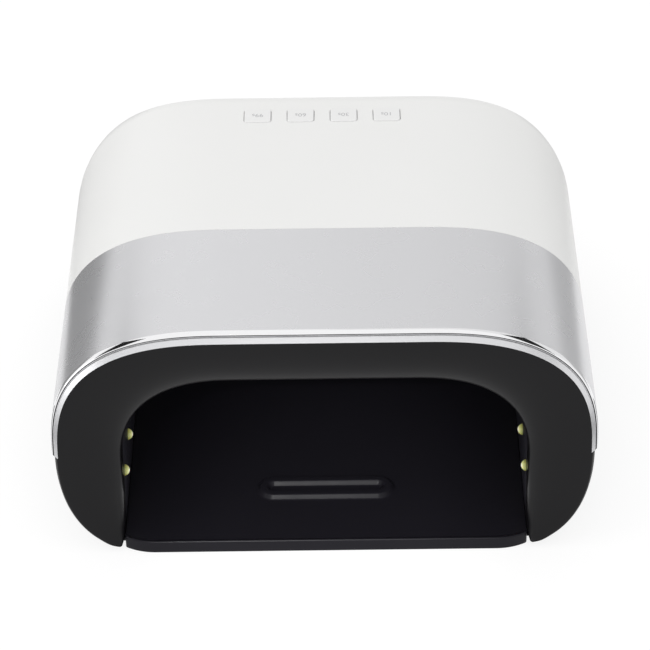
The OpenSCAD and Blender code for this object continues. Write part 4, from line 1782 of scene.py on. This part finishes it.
@dataclass
class ButtonRow:
    """Four push buttons with plain numerals, read from the operator's side."""

    form: LampForm = FORM
    numbers: tuple[str, ...] = ("99", "60", "30", "10")
    size: Point = (11.9, 10.5)
    corner: float = 1.5
    edge: float = 0.4
    top: float = 102.4
    sunk: float = 0.2
    flange_top: float = 99.7
    flange_corner: float = 2.0
    flange_wider: float = 2.0
    flange_height: float = 1.1
    stem: float = 2.0
    stem_reach: Point = (96.6, 99.0)
    numeral_height: float = 2.6
    digit_share: float = 0.69
    ink: float = 0.01
    ink_lift: float = 0.012

    def build(self) -> None:
        """Build each button with its numeral, and seat both on the button's body."""
        for number, x in zip(self.numbers, self.form.key_places):
            body = f"key_{number}"
            button = moved(self._button(), (x, self.form.key_y, 0))
            cap = as_object(button, f"push_button_{number}")
            smooth(cap)
            seated(cap, body, BUTTON_WHITE, [f"button_{number}"])
            numeral = self._numeral(number, x)
            seated(numeral, body, NUMERAL_GREY)
            dressed(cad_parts[f"plunger_{number}"], SWITCH_BLACK)

    def _button(self) -> bmesh.types.BMesh:
        """Make one button: its cap, the flange under the deck and the stem.

        Returns:
            The button, centred on the Z axis.
        """
        low = self.flange_top - self.sunk
        cap = rounded_prism((*self.size, self.top - low), low, self.corner, self.edge, 8)
        low = self.flange_top - self.flange_height
        size = (*(side + self.flange_wider for side in self.size), self.flange_height)
        flange = rounded_prism(size, low, self.flange_corner, 0.0)
        stem = round_pin(self.stem, self.stem_reach, 24)
        return joined([cap, flange, stem])

    def _numeral(self, number: str, x: float) -> bpy.types.Object:
        """Make a printed numeral on top of a button.

        Args:
            number: The digits.
            x: The button's place.

        Returns:
            The numeral as a mesh.
        """
        curve = bpy.data.curves.new(f"numeral_{number}", "FONT")
        curve.body = f"{number}s"
        curve.size = self.numeral_height * MM / self.digit_share
        curve.align_x = "CENTER"
        curve.align_y = "CENTER"
        curve.extrude = self.ink * MM
        text = linked("text", curve)
        graph = bpy.context.evaluated_depsgraph_get()
        mesh = bpy.data.meshes.new_from_object(text.evaluated_get(graph), depsgraph=graph)
        bpy.data.objects.remove(text)
        place = Matrix.Translation(Vector((x, self.form.key_y, self.top + self.ink_lift)) * MM)
        mesh.transform(place @ Matrix.Rotation(math.pi, 4, "Z"))
        return linked(f"numeral_{number}", mesh)


@dataclass
class Readout:
    """Countdown display in the rear wall: a dark window over two unlit digits."""

    form: LampForm = FORM
    size: Point = (33.7, 16.7)
    sunk: float = 0.1
    glass: float = 2.1
    corner: float = 1.8
    edge: float = 0.3
    flange_wider: float = 4.3
    flange_thick: float = 1.0
    flange_corner: float = 2.0
    digit: Point = (5.6, 9.6)
    bar: float = 1.1
    bar_thick: float = 0.04
    bar_lift: float = 0.01
    digit_x: float = 4.6

    def build(self) -> None:
        """Build the window and its digits, and seat them."""
        face, z = self.form.rear - self.sunk, self.form.display_z
        plate = rounded_prism((*self.size, self.glass), -self.glass, self.corner, self.edge)
        size = (*(side + self.flange_wider for side in self.size), self.flange_thick)
        low = -self.glass - self.flange_thick
        flange = rounded_prism(size, low, self.flange_corner, 0.0)
        window = as_object(moved(joined([plate, flange]), (0, face, z), TO_REAR), "display_glass")
        smooth(window)
        seated(window, Body.LAMP.value, WINDOW_BLACK, ["display_window"])
        bars = []
        for side in Side:
            for dx, dz, length, turn in self._segments():
                place = (side.value * self.digit_x + dx, face + self.bar_lift, z + dz)
                bars.append(moved(self._bar(length), place, turn @ TO_REAR))
        digits = as_object(joined(bars), "display_digits")
        seated(digits, Body.LAMP.value, DIGIT_GREY)
        dressed(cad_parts["display_module"], SWITCH_BLACK)

    def _segments(self) -> list[tuple[float, float, float, Matrix]]:
        """Return the seven bars of a digit: offsets, length and turn.

        Returns:
            Offsets along X and Z, length and turn of each bar.
        """
        half_w, half_h = self.digit[0] / 2, self.digit[1] / 2
        flat, upended = Matrix.Identity(4), Matrix.Rotation(math.pi / 2, 4, "Y")
        across = [(0.0, dz, self.digit[0] - self.bar, flat) for dz in (-half_h, 0.0, half_h)]
        up = [
            (dx, dz, half_h - self.bar, upended)
            for dx in (-half_w, half_w) for dz in (-half_h / 2, half_h / 2)
        ]
        return across + up

    def _bar(self, length: float) -> bmesh.types.BMesh:
        """Make one bar of a digit, with pointed ends."""
        size = (length, self.bar, self.bar_thick)
        return rounded_prism(size, -self.bar_thick / 2, self.bar * 0.49, 0.0, 1)


@dataclass
class PowerInlet:
    """Low-voltage inlet in the rear wall and its centre pin."""

    jack_edge: float = 0.15
    pin_edge: float = 0.1

    def build(self) -> None:
        """Build the inlet's body and pin, and seat them."""
        jack = merged_copy("dc_jack", "inlet_socket")
        edge_break(jack, self.jack_edge)
        smooth(jack, 40)
        seated(jack, Body.LAMP.value, SWITCH_BLACK, ["dc_jack"])
        pin = merged_copy("dc_pin", "inlet_pin")
        edge_break(pin, self.pin_edge)
        smooth(pin, 40)
        seated(pin, Body.LAMP.value, PIN_NICKEL, ["dc_pin"])


@dataclass
class InnerWorks:
    """Boards, parts and fasteners that stay as their CAD nodes and get their finish."""

    finishes: dict[str, Finish] = field(default_factory=lambda: {
        "led_board_ceiling": BOARD_WHITE,
        "led_board_left": BOARD_WHITE,
        "led_board_right": BOARD_WHITE,
        "led_board_rear": BOARD_WHITE,
        "control_board": BOARD_GREEN,
        "power_board": BOARD_GREEN,
        "switch_bodies": SWITCH_BLACK,
        "capacitors": SLEEVE_BLUE,
        "inductor": FERRITE,
        "ribbon_cables": CABLE_GREY,
        "housing_magnets": PLATED_STEEL,
        "housing_screws": PLATED_STEEL,
        "control_screws": PLATED_STEEL,
        "power_screws": PLATED_STEEL,
    })

    def build(self) -> None:
        """Dress every inner node."""
        for node, finish in self.finishes.items():
            dressed(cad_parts[node], finish)
            LOG.info("%s: dressed", node)


# Studio


@dataclass(frozen=True)
class Softbox:
    """A soft rectangular lamp: place, size and aim in metres, power in watts, shown in gloss."""

    name: str
    place: Place
    size: Point
    power: float
    aim: Place = (0.0, 0.0, 0.05)
    glossy: bool = True


@dataclass(frozen=True)
class Spot:
    """A narrow round lamp: place, aim and radius in metres, power in watts, cone in degrees."""

    name: str
    place: Place
    aim: Place
    power: float
    cone: float
    radius: float
    softness: float = 0.3


@dataclass(frozen=True)
class Flag:
    """A card that only gloss reflects; low and high are the middles of its two level edges."""

    name: str
    low: Place
    high: Place
    width: float
    grey: float


def looking(place: Place, aim: Place) -> Matrix:
    """Return the matrix of a lamp or camera at a place, turned towards its aim.

    Args:
        place: Where it is, in metres.
        aim: What it looks at.

    Returns:
        The matrix.
    """
    turn = (Vector(aim) - Vector(place)).to_track_quat("-Z", "Y").to_matrix().to_4x4()
    return Matrix.Translation(place) @ turn


@dataclass
class Studio:
    """Camera, floor, backdrop, soft lights and the cards that the satin band reflects."""

    camera_place: Place = (0.0075, -0.9628, 0.7577)
    camera_target: Place = (0.0003, 0.0, 0.04162)
    camera_roll: float = -0.967
    lens: float = 151.2
    sensor: float = 36.0
    ambient: float = 0.868
    floor_reach: float = 3.0
    floor_paper: float = 0.82
    floor_glow: float = 1.12
    floor_share: float = 0.72
    lamps: tuple[Softbox, ...] = (
        Softbox("top_softbox", (0.0, -0.1, 1.5), (1.6, 1.4), 0.1, glossy=False),
        Softbox("left_softbox", (-1.3, -0.3, 0.6), (0.9, 0.9), 3.8),
        Softbox("front_softbox", (0.0, -1.5, 1.08), (1.4, 0.35), 5.0, glossy=False),
        Softbox("cavity_fill", (0.0, -0.01, 0.072), (0.13, 0.09), 0.010, (0.0, -0.01, 0.0), False),
        Softbox("lip_light", (0.0, -0.088, 0.0075), (0.15, 0.030), 0.011, (0.0, -0.088, 0.1)),
    )
    spot: Spot = Spot("mouth_spot", (-0.2, -1.25, 1.0), (0.0, -0.094, 0.002), 40.0, 5.6, 0.03)
    flags: tuple[Flag, ...] = (
        Flag("left_flag", (-0.19, 0.10, 0.003), (-0.36, 0.30, 0.190), 0.34, 0.30),
        Flag("right_flag", (0.225, 0.13, 0.003), (0.37, 0.30, 0.125), 0.34, 0.52),
        Flag("right_screen", (0.62, 0.78, 0.100), (0.62, 0.78, 1.400), 1.60, 0.85),
        Flag("left_bead_flag", (-0.70, 0.15, 0.600), (-0.70, 0.15, 1.170), 1.30, 0.02),
        Flag("right_bead_flag", (0.70, 0.15, 0.600), (0.70, 0.15, 1.170), 1.30, 0.02),
        Flag("left_foot_flag", (-0.19, -0.06, 0.002), (-0.29, -0.06, 0.002), 0.14, 0.04),
        Flag("right_foot_flag", (0.19, -0.06, 0.002), (0.29, -0.06, 0.002), 0.14, 0.04),
    )

    def build(self) -> None:
        """Set up the whole studio."""
        self._camera()
        self._floor()
        self._world()
        for lamp in self.lamps:
            self._hang(lamp)
        self._aim(self.spot)
        for flag in self.flags:
            self._stand(flag)
        bpy.context.scene.view_settings.view_transform = "Standard"

    def _camera(self) -> None:
        """Make the camera at the photograph's angle."""
        data = bpy.data.cameras.new("camera")
        data.lens = self.lens
        data.sensor_width = self.sensor
        camera = linked("camera", data)
        roll = Matrix.Rotation(math.radians(self.camera_roll), 4, "Z")
        camera.matrix_world = looking(self.camera_place, self.camera_target) @ roll
        bpy.context.scene.camera = camera

    def _seen(self, tree: bpy.types.NodeTree) -> bpy.types.NodeSocket:
        """Return 1 for the rays that see the backdrop: straight, mirrored or through glass.

        Args:
            tree: The node tree that asks.

        Returns:
            The socket with that value.
        """
        path = tree.nodes.new("ShaderNodeLightPath")
        seen = path.outputs["Is Camera Ray"]
        for kind in ("Is Glossy Ray", "Is Transmission Ray"):
            either = tree.nodes.new("ShaderNodeMath")
            either.operation = "MAXIMUM"
            tree.links.new(seen, either.inputs[0])
            tree.links.new(path.outputs[kind], either.inputs[1])
            seen = either.outputs[0]
        return seen

    def _floor(self) -> None:
        """Make the plain floor, white to the camera apart from the lamp's shadow."""
        mesh = bmesh.new()
        bmesh.ops.create_grid(mesh, x_segments=8, y_segments=8, size=self.floor_reach)
        floor = as_object(mesh, "studio_floor")
        material = bpy.data.materials.new("studio_floor")
        material.use_nodes = True
        tree = material.node_tree
        tree.nodes.clear()
        output = tree.nodes.new("ShaderNodeOutputMaterial")
        paper = tree.nodes.new("ShaderNodeBsdfDiffuse")
        paper.inputs["Color"].default_value = (*[self.floor_paper] * 3, 1)
        white = tree.nodes.new("ShaderNodeEmission")
        white.inputs["Strength"].default_value = self.floor_glow
        share = tree.nodes.new("ShaderNodeMath")
        share.operation = "MULTIPLY"
        share.inputs[1].default_value = self.floor_share
        mix = tree.nodes.new("ShaderNodeMixShader")
        tree.links.new(self._seen(tree), share.inputs[0])
        tree.links.new(share.outputs[0], mix.inputs["Fac"])
        tree.links.new(paper.outputs["BSDF"], mix.inputs[1])
        tree.links.new(white.outputs["Emission"], mix.inputs[2])
        tree.links.new(mix.outputs["Shader"], output.inputs["Surface"])
        floor.data.materials.append(material)

    def _world(self) -> None:
        """Make the backdrop white wherever it is seen, and give the room its plain fill light."""
        world = bpy.data.worlds.new("studio")
        bpy.context.scene.world = world
        world.use_nodes = True
        tree = world.node_tree
        tree.nodes.clear()
        output = tree.nodes.new("ShaderNodeOutputWorld")
        shades = []
        for strength in (self.ambient, 1.0):
            shade_node = tree.nodes.new("ShaderNodeBackground")
            shade_node.inputs["Color"].default_value = (1, 1, 1, 1)
            shade_node.inputs["Strength"].default_value = strength
            shades.append(shade_node.outputs[0])
        mix = tree.nodes.new("ShaderNodeMixShader")
        tree.links.new(self._seen(tree), mix.inputs["Fac"])
        tree.links.new(shades[0], mix.inputs[1])
        tree.links.new(shades[1], mix.inputs[2])
        tree.links.new(mix.outputs[0], output.inputs["Surface"])

    def _hang(self, softbox: Softbox) -> None:
        """Hang a soft lamp.

        Args:
            softbox: The lamp.
        """
        data = bpy.data.lights.new(softbox.name, "AREA")
        data.shape = "RECTANGLE"
        data.size, data.size_y = softbox.size
        data.energy = softbox.power
        lamp = linked(softbox.name, data)
        lamp.visible_camera = False
        lamp.visible_glossy = softbox.glossy
        lamp.matrix_world = looking(softbox.place, softbox.aim)

    def _aim(self, spot: Spot) -> None:
        """Aim a narrow spot at the mouth, for the lines along the finger rest and the tray's edge.

        Args:
            spot: The lamp.
        """
        data = bpy.data.lights.new(spot.name, "SPOT")
        data.energy = spot.power
        data.spot_size = math.radians(spot.cone)
        data.spot_blend = spot.softness
        data.shadow_soft_size = spot.radius
        lamp = linked(spot.name, data)
        lamp.visible_camera = False
        lamp.matrix_world = looking(spot.place, spot.aim)

    def _stand(self, flag: Flag) -> None:
        """Stand a card beside or behind the lamp, where only gloss sees it.

        Its level edges run across the way that it leans. An upright card, which leans
        nowhere, faces the lamp instead.

        Args:
            flag: The card.
        """
        low, high = Vector(flag.low), Vector(flag.high)
        away = high - low if (high - low).xy.length > 0.001 else low
        along = Vector((-away.y, away.x, 0)).normalized() * flag.width / 2
        mesh = bmesh.new()
        bmesh.ops.create_grid(mesh, x_segments=1, y_segments=1, size=1.0)
        for vert in mesh.verts:
            vert.co = (low if vert.co.y < 0 else high) + along * vert.co.x
        card = as_object(mesh, flag.name)
        material = bpy.data.materials.new(flag.name)
        material.use_nodes = True
        tree = material.node_tree
        tree.nodes.clear()
        glow = tree.nodes.new("ShaderNodeEmission")
        glow.inputs["Color"].default_value = (*[flag.grey] * 3, 1)
        output = tree.nodes.new("ShaderNodeOutputMaterial")
        tree.links.new(glow.outputs["Emission"], output.inputs["Surface"])
        card.data.materials.append(material)
        card.visible_camera = card.visible_diffuse = False
        card.visible_shadow = card.visible_transmission = False


def main() -> None:
    """Build, dress and light the lamp."""
    logging.basicConfig(level=logging.INFO, format="%(name)s: %(message)s", stream=sys.stdout)
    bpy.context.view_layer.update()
    lights = Lights()
    Studio().build()
    UpperShell().build()
    FrontBand().build()
    MouthBezel().build()
    HandCavity().build(lights)
    lights.build()
    LowerHousing().build()
    FloorTray().build()
    ButtonRow().build()
    Readout().build()
    PowerInlet().build()
    InnerWorks().build()


if __name__ == "__main__":
    main()
